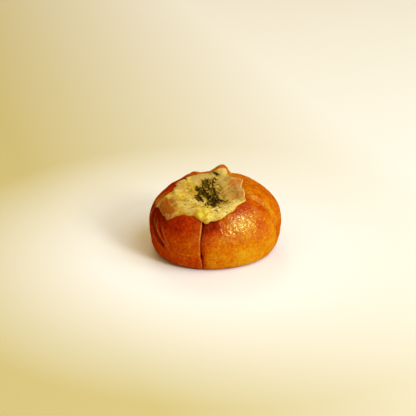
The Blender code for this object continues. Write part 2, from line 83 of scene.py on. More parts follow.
# A cut between two wedges: the angle it has at the waist, how many degrees it turns by the middle of the
# crown, how far it wavers and how often, how wide it gapes below and above, how deep it is on the crown,
# how much of the roll stays there, and the depth and width of the crust's roll on its left and right.
Cut = namedtuple("Cut", "angle lean waver period low high above roll_above left right")
CUTS = (
    Cut(-12.0, 0.0, -0.0005, 0.036, 0.0006, 0.0020, 0.0060, 1.0, (0.0004, 0.0010), (0.0024, 0.0026)),
    Cut(71.0, -38.0, 0.0030, 0.048, 0.0006, 0.0001, 0.0001, 0.3, (0.0016, 0.0052), (0.0012, 0.0044)),
    Cut(152.0, 8.0, 0.0012, 0.044, 0.0005, 0.0012, 0.0060, 1.0, (0.0018, 0.0034), (0.0012, 0.0030)),
    Cut(219.0, -10.0, -0.0012, 0.050, 0.0006, 0.0014, 0.0060, 1.0, (0.0012, 0.0028), (0.0020, 0.0036)),
    Cut(279.0, 6.0, 0.0010, 0.044, 0.0006, 0.0010, 0.0050, 0.8, (0.0018, 0.0034), (0.0014, 0.0026)),
)
# A cut's lean is complete at this height. Its depth on the flank sets in between these heights from the foot
# and between these radii from the crown's middle.
LEAN_TOP = 0.0500
CUT_DEPTH, CUT_HEIGHTS, CUT_RADII = 0.0120, (0.0, 0.0050), (0.0040, 0.0160)
# Where the gape widens, how far beside the cut it is felt, and half the width of the drawn slit.
GAPE_HEIGHTS, GAPE_SPREAD, SLIT_HALF = (0.0320, 0.0400), 0.0020, 0.0003
# The share of a wedge over which one cut's lean gives way to the next one's.
WEDGE_BLEND = (0.08, 0.92)
# The torn lip on the left of each cut, by its distance from the cut: where it begins and where it ends. How
# plainly it shows: everywhere, how much more round a height, and how unevenly.
LIP_BEGINS, LIP_ENDS = (-0.0009, -0.0006), (-0.0004, -0.0002)
TORN_EVEN, TORN_MORE, TORN_HEIGHT, TORN_TALL, TORN_UNEVEN = 0.36, 0.58, 0.0350, 0.0060, 0.25
# The front cut has opened into a small hole low on the side.
HOLE_CUT, HOLE_HEIGHT, HOLE_TALL, HOLE_GAPE = 0, 0.0140, 0.0028, 0.0015
# The crust sinks towards this height on the axis. Beside each cut it is drawn at these distances.
SINK_TOWARDS = 0.0200
BESIDE_CUT = (0.0, 0.00015, 0.0003, 0.0005, 0.0008, 0.0012, 0.0017, 0.0023, 0.0030, 0.0040, 0.0055)

# Dents that the oven and the hand left: angle, height, spread and depth. Between the two radii of DENT_FADE
# they fade out towards the crown's middle.
DENT_FADE = (0.020, 0.030)
DENTS = (
    (-3.0, 0.0400, 0.0048, 0.0030),
    (8.0, 0.0430, 0.0050, 0.0014),
    (-74.0, 0.0230, 0.0090, 0.0012),
    (96.0, 0.0120, 0.0120, 0.0010),
    (190.0, 0.0250, 0.0130, 0.0010),
)
# A valley in the crown, under the cheese too: both ends, its width and its depth.
VALLEY_ENDS, VALLEY_WIDTH, VALLEY_DEPTH = ((0.0038, -0.0174), (0.0438, -0.0229)), 0.0034, 0.0016

# Fine relief of the crust, from soft hollows to orange peel: the size of the bumps and their height.
CRUST_RELIEF = ((0.0100, 0.00034), (0.0048, 0.00018), (0.0023, 0.00007))
# Folds of the skin, each along points of angle and height: its width, how deep it lies (a ridge is
# negative), how much painted shade lies along it (a painted light strip where negative), and how strong a
# painted highlight, in the crumb's pale colour, runs along it.
Fold = namedtuple("Fold", "width depth dark pale line")
FOLDS = (
    Fold(0.0026, 0.0011, 0.55, 0.0, (
        (-69, 0.0330), (-63, 0.0270), (-57, 0.0225), (-50, 0.0190), (-46, 0.0165),
    )),
    Fold(0.0008, -0.0004, 0.0, 0.60, (
        (-60, 0.0350), (-56.5, 0.0290), (-51, 0.0240), (-45, 0.0195), (-41.5, 0.0170),
    )),
    Fold(0.0010, 0.0006, 0.45, 0.0, ((-54, 0.0315), (-50, 0.0270), (-47, 0.0240))),
    Fold(0.0008, -0.0003, 0.0, 0.45, ((-51, 0.0330), (-47, 0.0275), (-43.5, 0.0230), (-40, 0.0180))),
    Fold(0.0007, -0.0003, 0.0, 0.60, ((-67, 0.0375), (-64, 0.0335), (-61, 0.0300))),
    Fold(0.0009, -0.0003, 0.0, 0.50, ((-77, 0.0400), (-83, 0.0330), (-87, 0.0270))),
    Fold(0.0012, 0.0005, 0.50, 0.0, ((-84, 0.0400), (-90, 0.0330), (-93, 0.0280))),
    Fold(0.0036, 0.0003, 0.50, 0.0, ((-76, 0.0440), (-69, 0.0400), (-62, 0.0385), (-57, 0.0370))),
    Fold(0.0006, 0.0003, 0.16, 0.0, (
        (-35, 0.0188), (-31, 0.0165), (-26.5, 0.0158), (-21, 0.0168), (-15.5, 0.0185),
    )),
    Fold(0.0006, -0.0002, -0.14, 0.06, ((-34, 0.0174), (-30, 0.0152), (-25.5, 0.0146), (-20, 0.0157))),
    Fold(0.0006, 0.0003, 0.16, 0.0, ((-22, 0.0138), (-17.5, 0.0122), (-13.5, 0.0095))),
    Fold(0.0006, 0.0003, 0.16, 0.0, ((-45, 0.0252), (-39.5, 0.0220), (-32, 0.0205))),
    Fold(0.0006, 0.0003, 0.14, 0.0, ((-34, 0.0242), (-28, 0.0256), (-20, 0.0250))),
    Fold(0.0012, -0.0004, 0.05, 0.0, (
        (42, 0.0501), (53, 0.0497), (58.6, 0.0467), (60.2, 0.0421), (61.4, 0.0359),
    )),
    Fold(0.0034, 0.0, 0.24, 0.0, ((14, 0.0430), (26, 0.0465), (36, 0.0484), (44, 0.0487), (51, 0.0470))),
    Fold(0.0030, 0.0003, -0.12, 0.0, ((56, 0.0512), (64, 0.0482), (67, 0.0430), (68, 0.0360))),
)
# Fine ripples that run round the flank, and small blisters of the glaze between two heights.
RIPPLE_PITCH, RIPPLE_HEIGHT = 0.0021, 0.00006
BLISTERS, BLISTER_SIZES, BLISTER_RISE = 260, (0.0006, 0.0013), 0.00016
BLISTER_HEIGHTS = (0.012, 0.052)

# How dark the crust is, from gold at 0 to a deep red brown at 1: everywhere, more on the left, more at
# the top of the left, and more on the side that faces left. On the left, away from the lamps, that is
# partly its bake and partly painted shade.
EVEN_BAKE, LEFT_BAKE_AND_SHADE, LEFT_TOP_BAKE_AND_SHADE, LEFT_SIDE_BAKE_AND_SHADE = 0.34, 0.20, 0.25, 0.16
# Sides that are darker, or paler where the amount is negative: the amount, the angle, its spread, and
# the height at which that begins and the one at which it is full. The dent under the cheese at the front,
# the strip right of the front slit and the band along the cheese's right edge get painted shade; the low
# right side is baked paler.
BAKED_AND_SHADED_SIDES = (
    (0.46, -2.0, 10.0, 0.028, 0.040), (0.28, -7.0, 4.5, 0.012, 0.024),
    (-0.20, 42.0, 30.0, 0.032, 0.014), (0.12, 32.0, 16.0, 0.040, 0.047),
)
# Patches of painted light and shade: the amount, the angle, its spread, the height and its spread. The
# first paints light on the shaded rim at the left below the cheese, the second shade below the cheese's film.
PAINTED_LIGHT_AND_SHADE_PATCHES = ((-0.75, -84.0, 7.5, 0.0428, 0.0060), (0.22, -66.0, 8.0, 0.0385, 0.0060))
# Where the crust has no glaze: below these heights, between these angles on the left and those behind, and in
# the dent at the front, from its heights up, with its angle and spread.
DRY_BELOW, DRY_LEFT, DRY_BEHIND = (0.022, 0.034), (8.0, 24.0), (-170.0, -130.0)
DRY_DENT_ABOVE, DRY_DENT, DRY_DENT_SPREAD = (0.028, 0.036), -5.0, 12.0

# The melted cheese: an uneven disc round its own middle, whose edge has this angle and reach in turn.
CHEESE_MIDDLE = (-0.0082, -0.0104)
CHEESE_EDGE = (
    (-176.0, 0.0302), (-168.0, 0.0293), (-161.0, 0.0298), (-153.0, 0.0299), (-144.0, 0.0304),
    (-135.0, 0.0302), (-126.0, 0.0288), (-112.0, 0.0266), (-103.0, 0.0262), (-97.0, 0.0278),
    (-91.5, 0.0335), (-87.5, 0.0382), (-81.0, 0.0387), (-70.0, 0.0376), (-61.5, 0.0379),
    (-55.0, 0.0386), (-50.0, 0.0383), (-44.5, 0.0367), (-40.0, 0.0346), (-34.0, 0.0337),
    (-27.0, 0.0330), (-17.0, 0.0323), (-12.0, 0.0334), (-7.5, 0.0350), (-3.0, 0.0357),
    (2.0, 0.0366), (7.5, 0.0362), (14.0, 0.0358), (27.0, 0.0357), (34.0, 0.0349),
    (42.0, 0.0341), (51.0, 0.0335), (59.5, 0.0340), (66.5, 0.0347), (75.0, 0.0327),
    (90.0, 0.0303), (100.5, 0.0295), (108.0, 0.0314), (115.0, 0.0344), (120.0, 0.0339),
    (127.0, 0.0311), (138.0, 0.0304), (145.0, 0.0328), (150.0, 0.0341), (155.0, 0.0336),
    (161.0, 0.0322), (168.0, 0.0306),
)
# Fine waves of the edge, as those of the bun's outline but in metres.
EDGE_WAVES = ((17, 0.00040, 20.0), (29, 0.00015, 75.0), (41, 0.00008, 10.0))
# The thickness of the cheese's lip, and how far in from the edge it rounds off.
CHEESE_LIP, LIP_RUN = 0.0016, 0.0026
# How far the crumb has sunk under the cheese, and the shares of the cheese's reach where that ends.
SEAT_DEPTH, SEAT_INNER, SEAT_OUTER = 0.0034, 0.62, 0.94
# The soft bumps of the cheese: their height and length, and each wave's direction, length and lead.
LUMP_HEIGHT, LUMP_SIZE = 0.0010, 0.0068
LUMP_WAVES = ((10.0, 1.0, 0.3), (75.0, 1.27, 1.9), (130.0, 0.81, 4.1), (200.0, 1.61, 2.6))
# Where the lip is thinner: the angle, its spread and the share that it lacks, and the least that it keeps. It
# is whole again this far in from the edge.
LEAST_LIP, LIP_WHOLE = 0.15, (0.005, 0.018)
THIN_EDGES = (
    (-62.0, 24.0, 0.80), (-30.0, 13.0, 0.65), (-104.0, 16.0, 0.85), (-150.0, 26.0, 0.60), (40.0, 16.0, 0.35),
    (92.0, 24.0, 0.70), (148.0, 16.0, 0.60), (178.0, 14.0, 0.60),
)
# Where the rim of the cheese is milky: its angle and spread.
MILKY_RIM, MILKY_SPREAD = 92.0, 26.0
# Where the edge is browned: angle, spread and the width of the browned band.
BROWNED_EDGES = ((148.0, 16.0, 0.0014), (-170.0, 26.0, 0.0010), (-30.0, 17.0, 0.0006), (-125.0, 16.0, 0.0008))
# Fine relief of the cheese, and the shreds, pits and bubbles that are strewn this far round its middle.
CHEESE_RELIEF = ((0.0046, 0.00014), (0.0021, 0.00005))
STREWN_REACH = 0.036
# Shreds: their number, how plainly they show, and the least and most of their length, width, rise and bend.
Shreds = namedtuple("Shreds", "number plainness lengths widths rises bends")
SHRED_LENGTHS, SHRED_BENDS = (0.005, 0.013), (-0.0015, 0.0015)
SHREDS = Shreds(60, 0.45, SHRED_LENGTHS, (0.0008, 0.0013), (0.00004, 0.00014), SHRED_BENDS)
# A strip near the front edge has thinner and higher ones: its middle, half its length and width, its turn.
STRIP_SHREDS = Shreds(70, 1.0, SHRED_LENGTHS, (0.00056, 0.00091), (0.00025, 0.00055), SHRED_BENDS)
STRIP_MIDDLE, STRIP_LONG, STRIP_WIDE, STRIP_TURN = (0.0080, -0.0360), 0.0130, 0.0058, 24.0
PITS, PIT_SIZES, PIT_DEPTH = 60, (0.0004, 0.0010), 0.00035
BUBBLES, BUBBLE_SIZES, BUBBLE_RISE = 90, (0.0006, 0.0014), 0.00018
# The left lobe sags where it lies across a cut: which one, how deep, how wide, and from which radius.
SAG_CUT, SAG_DEPTH, SAG_WIDTH, SAG_START = CUTS[4], 0.0013, 0.0032, (0.0360, 0.0430)
# On the right the cheese is a smooth sheet: where that begins from the left and from the front, and the
# share of the relief that it lacks.
SHEET_LEFT, SHEET_FRONT, SHEET_CALM = (0.0060, 0.0120), (-0.0270, -0.0200), 0.75

# Where the cheese differs from its plain yellow, laid on in turn: the tint's name, its colour, and its
# spots, each a place, a reach and a strength.
TINTS = (
    ("butter", (0.80, 0.64, 0.050), (
        (-0.0081, -0.0389, 0.0065, 1.00), (-0.0050, -0.0430, 0.0040, 0.80), (-0.0130, -0.0350, 0.0045, 0.60),
        (-0.0215, 0.0080, 0.0070, 0.60), (-0.0270, -0.0120, 0.0060, 0.70), (0.0060, -0.0400, 0.0080, 0.30),
        (0.0150, -0.0320, 0.0070, 0.40), (-0.0370, -0.0120, 0.0035, 0.80), (-0.0060, 0.0140, 0.0060, 0.50),
    )),
    # Pale cream curds; the strong spot on the peak's front, at the back, is painted sheen.
    ("pale", (0.71, 0.57, 0.13), (
        (-0.0291, -0.0065, 0.0040, 0.80), (-0.0239, -0.0287, 0.0065, 0.40), (-0.0199, -0.0361, 0.0050, 0.45),
        (-0.0185, -0.0178, 0.0070, 0.70), (-0.0121, -0.0219, 0.0060, 0.60), (-0.0042, -0.0456, 0.0035, 0.60),
        (0.0065, 0.0164, 0.0065, 0.90), (0.0015, 0.0110, 0.0050, 0.50), (-0.0155, 0.0041, 0.0050, 0.40),
        (0.0010, -0.0360, 0.0050, 0.60), (0.0120, -0.0345, 0.0060, 0.65), (0.0080, -0.0402, 0.0050, 0.85),
    )),
    ("toast", (0.50, 0.235, 0.002), (
        (-0.0281, -0.0344, 0.0050, 0.90), (-0.0310, -0.0265, 0.0035, 0.50), (-0.0228, 0.0026, 0.0060, 0.70),
        (-0.0284, -0.0010, 0.0045, 0.70), (-0.0250, -0.0110, 0.0050, 0.50), (-0.0150, -0.0380, 0.0035, 0.70),
        (-0.0320, -0.0188, 0.0030, 0.80), (-0.0351, -0.0110, 0.0028, 0.60), (0.0060, -0.0180, 0.0050, 0.45),
        (-0.0220, -0.0400, 0.0030, 0.60), (-0.0140, 0.0160, 0.0050, 0.40),
    )),
    # Greyish beige at the back and middle right: partly thin clear cheese, partly painted sheen.
    ("glassy", (0.46, 0.312, 0.066), (
        (-0.0140, 0.0150, 0.0080, 0.80), (-0.0050, 0.0150, 0.0070, 0.80), (0.0060, 0.0060, 0.0080, 0.75),
        (0.0100, -0.0060, 0.0080, 0.75), (0.0040, -0.0100, 0.0060, 0.60), (0.0120, -0.0165, 0.0060, 0.60),
        (0.0030, 0.0130, 0.0050, 0.60),
    )),
    ("sheet", (0.49, 0.226, 0.034), (
        (0.0102, -0.0098, 0.0070, 0.45), (0.0181, -0.0153, 0.0075, 1.10), (0.0200, -0.0060, 0.0065, 1.10),
        (0.0160, -0.0090, 0.0085, 0.65), (-0.0441, -0.0158, 0.0065, 0.90), (-0.0460, -0.0200, 0.0050, 0.80),
        (-0.0310, 0.0050, 0.0040, 0.60), (-0.0375, -0.0352, 0.0030, 0.90), (-0.0338, -0.0372, 0.0030, 0.80),
    )),
    ("orange", (0.52, 0.150, 0.008), (
        (0.0170, 0.0020, 0.0070, 1.15), (0.0214, -0.0150, 0.0022, 0.80),
    )),
    ("film", (0.38, 0.098, 0.003), (
        (-0.0405, -0.0215, 0.0075, 1.20), (-0.0385, -0.0290, 0.0078, 1.20), (-0.0352, -0.0325, 0.0048, 1.00),
        (-0.0365, -0.0205, 0.0055, 1.00), (-0.0430, -0.0260, 0.0050, 1.00),
    )),
    # Pale pinkish spots, most along the film's lower edge: painted highlights; the one before the peak is
    # sheen.
    ("nodules", (0.70, 0.36, 0.15), (
        (0.0068, 0.0185, 0.0045, 0.30),
        (-0.0369, -0.0342, 0.0013, 0.70), (-0.0333, -0.0357, 0.0015, 0.60), (-0.0300, -0.0358, 0.0012, 0.60),
        (-0.0387, -0.0318, 0.0011, 0.70), (-0.0316, -0.0350, 0.0009, 0.80), (-0.0455, -0.0170, 0.0030, 0.60),
    )),
)
# The tints of the curds have ragged edges; those of the films and sheets are only this share as ragged.
CURDLED, FILM_RAGGED = ("butter", "pale", "toast"), 0.5

# The pinch of herb is a long heap: its middle, half its length and width, and its turn in degrees.
HEAP_MIDDLE, HEAP_LONG, HEAP_WIDE, HEAP_TURN = (-0.0050, -0.0100), 0.0146, 0.0108, -58.0
# Its packed core: the share of the heap that it fills, its height in the middle and at its rim, its waves.
CORE_SHARE, CORE_HIGH, CORE_RIM = 0.442, 0.0010, 0.0002
CORE_WAVES = ((3, 0.10, 25.0), (5, 0.08, 60.0))
CORE_STEPS, CORE_RINGS, CORE_UNDER_RINGS = 72, 22, 6
# Slips of leaf that are strewn round the heap: the place, the length and the turn in degrees.
STREWN = (
    (-0.0102, 0.0045, 0.0092, -74.0), (-0.0066, 0.0063, 0.0048, 68.0), (-0.0040, 0.0089, 0.0046, 12.0),
    (-0.0044, 0.0059, 0.0068, 55.0), (-0.0017, 0.0025, 0.0042, 85.0), (-0.0152, -0.0123, 0.0062, -5.0),
    (-0.0142, -0.0044, 0.0036, 10.0), (-0.0128, -0.0054, 0.0036, -20.0), (0.0078, -0.0218, 0.0060, -35.0),
    (0.0019, 0.0022, 0.0044, 5.0), (0.0050, -0.0023, 0.0026, -40.0), (-0.0006, 0.0152, 0.0036, -50.0),
    (0.0014, 0.0144, 0.0028, 60.0), (-0.0235, 0.0120, 0.0062, -60.0), (-0.0239, -0.0270, 0.0018, 10.0),
    (0.0031, -0.0316, 0.0026, 130.0), (0.0009, -0.0384, 0.0036, -45.0), (0.0055, -0.0212, 0.0026, 60.0),
    (0.0090, -0.0400, 0.0020, 30.0), (-0.0011, -0.0305, 0.0034, 20.0),
)
# Where the heap is thick: a place, how far that spreads along and across the heap, and its count of slips.
CLUSTERS = (
    (-0.0105, -0.0050, 0.0056, 0.0040, 20), (-0.0060, -0.0085, 0.0070, 0.0050, 26),
    (-0.0025, -0.0140, 0.0070, 0.0050, 22), (0.0020, -0.0185, 0.0060, 0.0034, 12),
    (-0.0038, -0.0215, 0.0044, 0.0050, 20), (-0.0070, 0.0020, 0.0040, 0.0030, 8),
    (-0.0115, -0.0098, 0.0035, 0.0035, 10), (-0.0010, -0.0050, 0.0045, 0.0035, 12),
    (-0.0120, -0.0165, 0.0040, 0.0032, 15), (-0.0012, -0.0265, 0.0034, 0.0030, 10),
    (-0.0070, 0.0055, 0.0038, 0.0030, 10), (0.0015, 0.0055, 0.0030, 0.0030, 4),
    (0.0006, 0.0145, 0.0018, 0.0014, 3),
)
# Most slips of the heap lie along it, a few degrees off; the rest lie anyhow. They pile up in its middle.
ALONG_SHARE, ALONG_LEAD, ALONG_SPLAY, PILE_LIFT = 0.8, 8.0, 26.0, 0.0010
# A slip: the least and most of its length and width, then its thickness, its fold along the rib, the most
# that it bows, twists and leans, and how far its tips curl up or one of them rises.
SLIP_LENGTHS, SLIP_WIDTHS = (0.0040, 0.0076), (0.0009, 0.0015)
SLIP_THICKNESS, SLIP_FOLD, SLIP_BOW, SLIP_TWIST, SLIP_LEAN = 0.00022, 0.35, 0.0011, 1.6, 0.5
SLIP_CURL, SLIP_RISE = 0.0009, 0.0008
# A slip's outline, at unit length and width, as distances from its rib and places along it, and its sides.
SLIP_OUTLINE = ((0.0, -0.5), (0.26, -0.40), (0.43, -0.22), (0.5, 0.0), (0.40, 0.22), (0.22, 0.40), (0.0, 0.5))
SLIP_SIDES = 6
# Small flecks of leaf: their number and lengths, how many times the heap's size they lie out, how much less
# along it, and how far they keep from the cheese's edge.
FLECKS, FLECK_LENGTHS, FLECK_REACH, FLECK_ALONG, EDGE_MARGIN = 34, (0.0006, 0.0014), (0.6, 2.3), 0.8, 0.003
# What is shorter than a slip of the heap is narrower and flatter by these shares.
SHORT_WIDTH, SHORT_BOW = 0.7, 0.2

# Gaps that keep the pieces from touching, at the cheese's edge and under it.
CLEARANCE, CURVED_CLEARANCE = 0.0003, 0.0007
# How finely the bun is drawn: steps round it, rings of the flank, rings of the crown in the open and under
# the cheese, the foot's rings as shares of its radius, where the open part ends, how the crown's rings crowd.
BUN_STEPS, FLANK_RINGS, OPEN_RINGS, HIDDEN_RINGS = 520, 70, 120, 14
FOOT_SHARES, OPEN_SHARE, RING_CROWDING = (0.0, 0.3, 0.6, 0.8, 0.9, 0.96), 0.70, 0.9
# How finely the cheese is drawn: steps round it, rings of its top and rings of its under side.
CHEESE_STEPS, CHEESE_RINGS, UNDER_RINGS = 420, 150, 10
SEED = 11


# ---------------------------------------------------------------- plain sums


def smooth_step(value, low, high):
    """0 below low, 1 above high, and an S between them."""
    share = np.clip((value - low) / (high - low), 0.0, 1.0)
    return share * share * (3.0 - 2.0 * share)


def turn_between(angle, other):
    """The signed angle from other to angle, from minus half a turn to half a turn."""
    return (angle - other + math.pi) % (2.0 * math.pi) - math.pi


def bell(value, middle, spread):
    """1 in the middle, fading to both sides."""
    return np.exp(-(((value - middle) / spread) ** 2))


def beside(angle, place, spread):
    """1 where the angle is this many degrees round from the front, fading over a spread in degrees."""
    return bell(np.degrees(turn_between(angle, math.radians(place))), 0.0, spread)


def wave_sum(angle, waves):
    """The sum of waves that go round a middle: how many they are, their height and a crest's angle."""
    return sum(height * np.cos(count * (angle - math.radians(crest))) for count, height, crest in waves)


def polar(x, y, middle):
    """Distance and angle of a place from a middle, where 0 is the front and the right is positive."""
    return np.hypot(x - middle[0], y - middle[1]), np.arctan2(x - middle[0], -(y - middle[1]))


def place_at(radius, angle, middle):
    """The place at this distance and angle from a middle."""
    return middle[0] + radius * np.sin(angle), middle[1] - radius * np.cos(angle)


def rotated(along, across, way):
    """The two lengths as steps towards the right and the back, once their line is turned by this angle."""
    return along * np.cos(way) - across * np.sin(way), along * np.sin(way) + across * np.cos(way)


def uneven(value, middle, before, after):
    """How far a value lies from the middle, as a share of its own reach on each side."""
    return (value - middle) / np.where(value < middle, before, after)


def soft_noise(points, size, seed):
    """Smooth noise from -1 to 1 at each point, from random values on a lattice of this spacing."""
    values = np.random.default_rng(seed).uniform(-1.0, 1.0, (32, 32, 32))
    cell = points / size
    base = np.floor(cell).astype(int)
    share = cell - base
    share = share * share * (3.0 - 2.0 * share)
    total = np.zeros(len(points))
    for corner in itertools.product((0, 1), repeat=3):
        weight = np.prod(np.where(corner, share, 1.0 - share), axis=1)
        total += weight * values[tuple(((base + corner) % 32).T)]
    return total


# ---------------------------------------------------------------- the bun's form


def around_axis(x, y):
    """Distance and angle of a place from the bun's own axis."""
    return polar(x, y, AXIS)


def outline_share(angle):
    """How far the bun's outline stands from its axis at an angle, as a share of the radius."""
    return 1.0 + wave_sum(angle, OUTLINE_WAVES)


def dome_height(share):
    """Height of the unscored crown at this share of the radius."""
    level = np.clip(1.0 - np.clip(share, 0.0, 1.0) ** CROWN_ROUNDNESS, 0.0, 1.0)
    return WAIST_HEIGHT + (CROWN_HEIGHT - WAIST_HEIGHT) * level ** (1.0 / CROWN_ROUNDNESS)


def dome_share(height):
    """The share of the radius at which the unscored crown has this height."""
    level = (height - WAIST_HEIGHT) / (CROWN_HEIGHT - WAIST_HEIGHT)
    return (1.0 - level**CROWN_ROUNDNESS) ** (1.0 / CROWN_ROUNDNESS)


def dish_depth(x, y):
    away = uneven(x, DISH_X, DISH_LEFT, DISH_RIGHT) ** 2 + uneven(y, DISH_Y, DISH_FRONT, DISH_BACK) ** 2
    return DISH_DEPTH * np.clip(1.0 - away, 0.0, 1.0) ** 2


def peak_rise(x, y):
    rise = PEAK_RISE
    for away in (uneven(x, PEAK_X, PEAK_LEFT, PEAK_RIGHT), uneven(y, PEAK_Y, PEAK_FRONT, PEAK_BACK)):
        near = np.clip(1.0 - away**2, 0.0, 1.0)
        rise = rise * near**2 / (near + PEAK_FOOT) * (1.0 + PEAK_FOOT)
    return rise


def valley_share(x, y):
    """1 along the bottom of the crown's valley, fading to its sides and its ends."""
    (x0, y0), (x1, y1) = VALLEY_ENDS
    length = math.hypot(x1 - x0, y1 - y0)
    along = ((x - x0) * (x1 - x0) + (y - y0) * (y1 - y0)) / length**2
    off = ((x - x0) * (y1 - y0) - (y - y0) * (x1 - x0)) / length
    ends = smooth_step(along, -0.1, 0.2) * (1.0 - smooth_step(along, 0.8, 1.1))
    return ends * bell(off, 0.0, VALLEY_WIDTH)


def crown_change(x, y):
    """What the dish, the peak, the swells and the valley add to the dome's height at a place."""
    radius, angle = around_axis(x, y)
    total = peak_rise(x, y) - dish_depth(x, y) - VALLEY_DEPTH * valley_share(x, y)
    for place, spread, ring, width, rise in SWELLS:
        total = total + rise * beside(angle, place, spread) * bell(radius, ring, width)
    return total


def crown_weight(height):
    """1 on the crown and 0 from the waist down, so that the dish leaves the flank alone."""
    return smooth_step(height, *DISH_TOP_FADE)


def crown_height(x, y):
    """Height of the closed crown, dish and all, before it is scored: the cheese lies on this."""
    radius, angle = around_axis(x, y)
    dome = dome_height(radius / (BUN_RADIUS * outline_share(angle)))
    return dome + crown_change(x, y) * crown_weight(dome)


def crown_normal(x, y):
    """The closed crown's upward normal, by differences over a tenth of a millimetre."""
    step = 0.0001
    slope_x = (crown_height(x + step, y) - crown_height(x - step, y)) / (2.0 * step)
    slope_y = (crown_height(x, y + step) - crown_height(x, y - step)) / (2.0 * step)
    normal = np.stack([-slope_x, -slope_y, np.ones_like(slope_x)], axis=-1)
    return normal / np.linalg.norm(normal, axis=-1, keepdims=True)


def cheese_reach(angle):
    """Distance of the cheese's edge from the cheese's middle: a smooth line through the edge's points."""
    places = np.radians([place for place, _ in CHEESE_EDGE])
    reaches = np.array([reach for _, reach in CHEESE_EDGE])
    turn = (angle - places[0]) % (2.0 * math.pi) + places[0]
    before = np.searchsorted(places, turn, side="right") - 1
    knots = np.concatenate([places[-2:] - 2.0 * math.pi, places, places[:3] + 2.0 * math.pi])
    values = np.concatenate([reaches[-2:], reaches, reaches[:3]])
    slopes = (values[2:] - values[:-2]) / (knots[2:] - knots[:-2])
    near, far = before + 2, before + 3
    gap = knots[far] - knots[near]
    share = (turn - knots[near]) / gap
    bulge_near = share * (1.0 - share) ** 2 * gap * slopes[near - 1]
    bulge_far = share**2 * (share - 1.0) * gap * slopes[far - 1]
    blend = share * share * (3.0 - 2.0 * share)
    reach = values[near] + (values[far] - values[near]) * blend + bulge_near + bulge_far
    return reach + wave_sum(angle, EDGE_WAVES)


def cheese_polar(x, y):
    """Distance and angle of a place from the cheese's middle."""
    return polar(x, y, CHEESE_MIDDLE)


def seat_depth(x, y):
    """How far the crumb has sunk below the closed crown under the cheese."""
    radius, angle = cheese_polar(x, y)
    return SEAT_DEPTH * (1.0 - smooth_step(radius / cheese_reach(angle), SEAT_INNER, SEAT_OUTER))


def lumps(x, y):
    """Soft bumps in the melted cheese, from waves that cross at uneven angles."""
    total = np.zeros_like(x)
    for turn, scale, lead in LUMP_WAVES:
        way = math.radians(turn)
        along = (x * math.cos(way) + y * math.sin(way)) / (LUMP_SIZE * scale)
        total = total + np.sin(2.0 * math.pi * along + lead + 1.5 * np.sin(along * 2.1 + lead))
    return LUMP_HEIGHT * total / len(LUMP_WAVES)


# ---------------------------------------------------------------- mesh helpers


def turned(profile, steps):
    """A closed bmesh spun about the Z axis from (radius, height) points that begin and end on the axis."""
    form = bmesh.new()
    line = [form.verts.new((radius, 0.0, height)) for radius, height in profile]
    edges = [form.edges.new(pair) for pair in zip(line, line[1:])]
    bmesh.ops.spin(
        form,
        geom=line + edges,
        cent=(0.0, 0.0, 0.0),
        axis=(0.0, 0.0, 1.0),
        angle=2.0 * math.pi,
        steps=steps,
        use_merge=True,
    )
    bmesh.ops.remove_doubles(form, verts=form.verts, dist=1e-7)
    return form


def places(form):
    return np.array([vertex.co for vertex in form.verts], float).reshape(-1, 3)


def move_to(form, points):
    for vertex, point in zip(form.verts, points):
        vertex.co = point


def outwards(form):
    """Turns every face outwards, also where a move has turned the whole form inside out."""
    bmesh.ops.recalc_face_normals(form, faces=form.faces)
    if form.calc_volume(signed=True) < 0.0:
        bmesh.ops.reverse_faces(form, faces=form.faces)


def normals(form):
    form.normal_update()
    return np.array([vertex.normal for vertex in form.verts], float).reshape(-1, 3)


def paint(form, name, values):
    """Keeps a value for each vertex in the mesh, for the material to read."""
    layer = form.verts.layers.float.get(name) or form.verts.layers.float.new(name)
    for vertex, value in zip(form.verts, values):
        vertex[layer] = value


def as_mesh(name, form):
    """Makes the bmesh a mesh, and frees it."""
    mesh = bpy.data.meshes.new(name)
    form.to_mesh(mesh)
    form.free()
    return mesh


def add_object(name, data):
    """Puts a mesh, a lamp or a camera into the scene."""
    added = bpy.data.objects.new(name, data)
    bpy.context.scene.collection.objects.link(added)
    return added


def add_piece(name, form, material, slot, *nodes):
    """Makes the bmesh a smooth piece of the part that stands for the given solids."""
    mesh = as_mesh(name, form)
    mesh.materials.append(material)
    mesh.shade_smooth()
    piece = add_object(name, mesh)
    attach(piece, "root")
    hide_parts(*nodes)
    return piece


# ---------------------------------------------------------------- the bun


def meridians(steps):
    """Each meridian's angle, close together beside the cuts, with the wedge it is in and its share of it."""
    starts = [math.radians(cut.angle) for cut in CUTS]
    ends = starts[1:] + [starts[0] + 2.0 * math.pi]
    margin = BESIDE_CUT[-1] / BUN_RADIUS
    spans = [end - start - 2.0 * margin for start, end in zip(starts, ends)]
    spare = steps - len(CUTS) * (2 * len(BESIDE_CUT) - 1)
    bounds = [round(spare * sum(spans[:number]) / sum(spans)) for number in range(len(CUTS) + 1)]
    angles, wedges, shares = [], [], []
    for wedge, (start, end) in enumerate(zip(starts, ends)):
        between = bounds[wedge + 1] - bounds[wedge]
        pitch = spans[wedge] / (between + 1)
        inner = [start + margin + pitch * (number + 1) for number in range(between)]
        mine = [start + offset / BUN_RADIUS for offset in BESIDE_CUT] + inner
        mine += [end - offset / BUN_RADIUS for offset in BESIDE_CUT[:0:-1]]
        angles += mine
        wedges += [wedge] * len(mine)
        shares += [(angle - start) / (end - start) for angle in mine]
    return np.array(angles), np.array(wedges), np.array(shares)


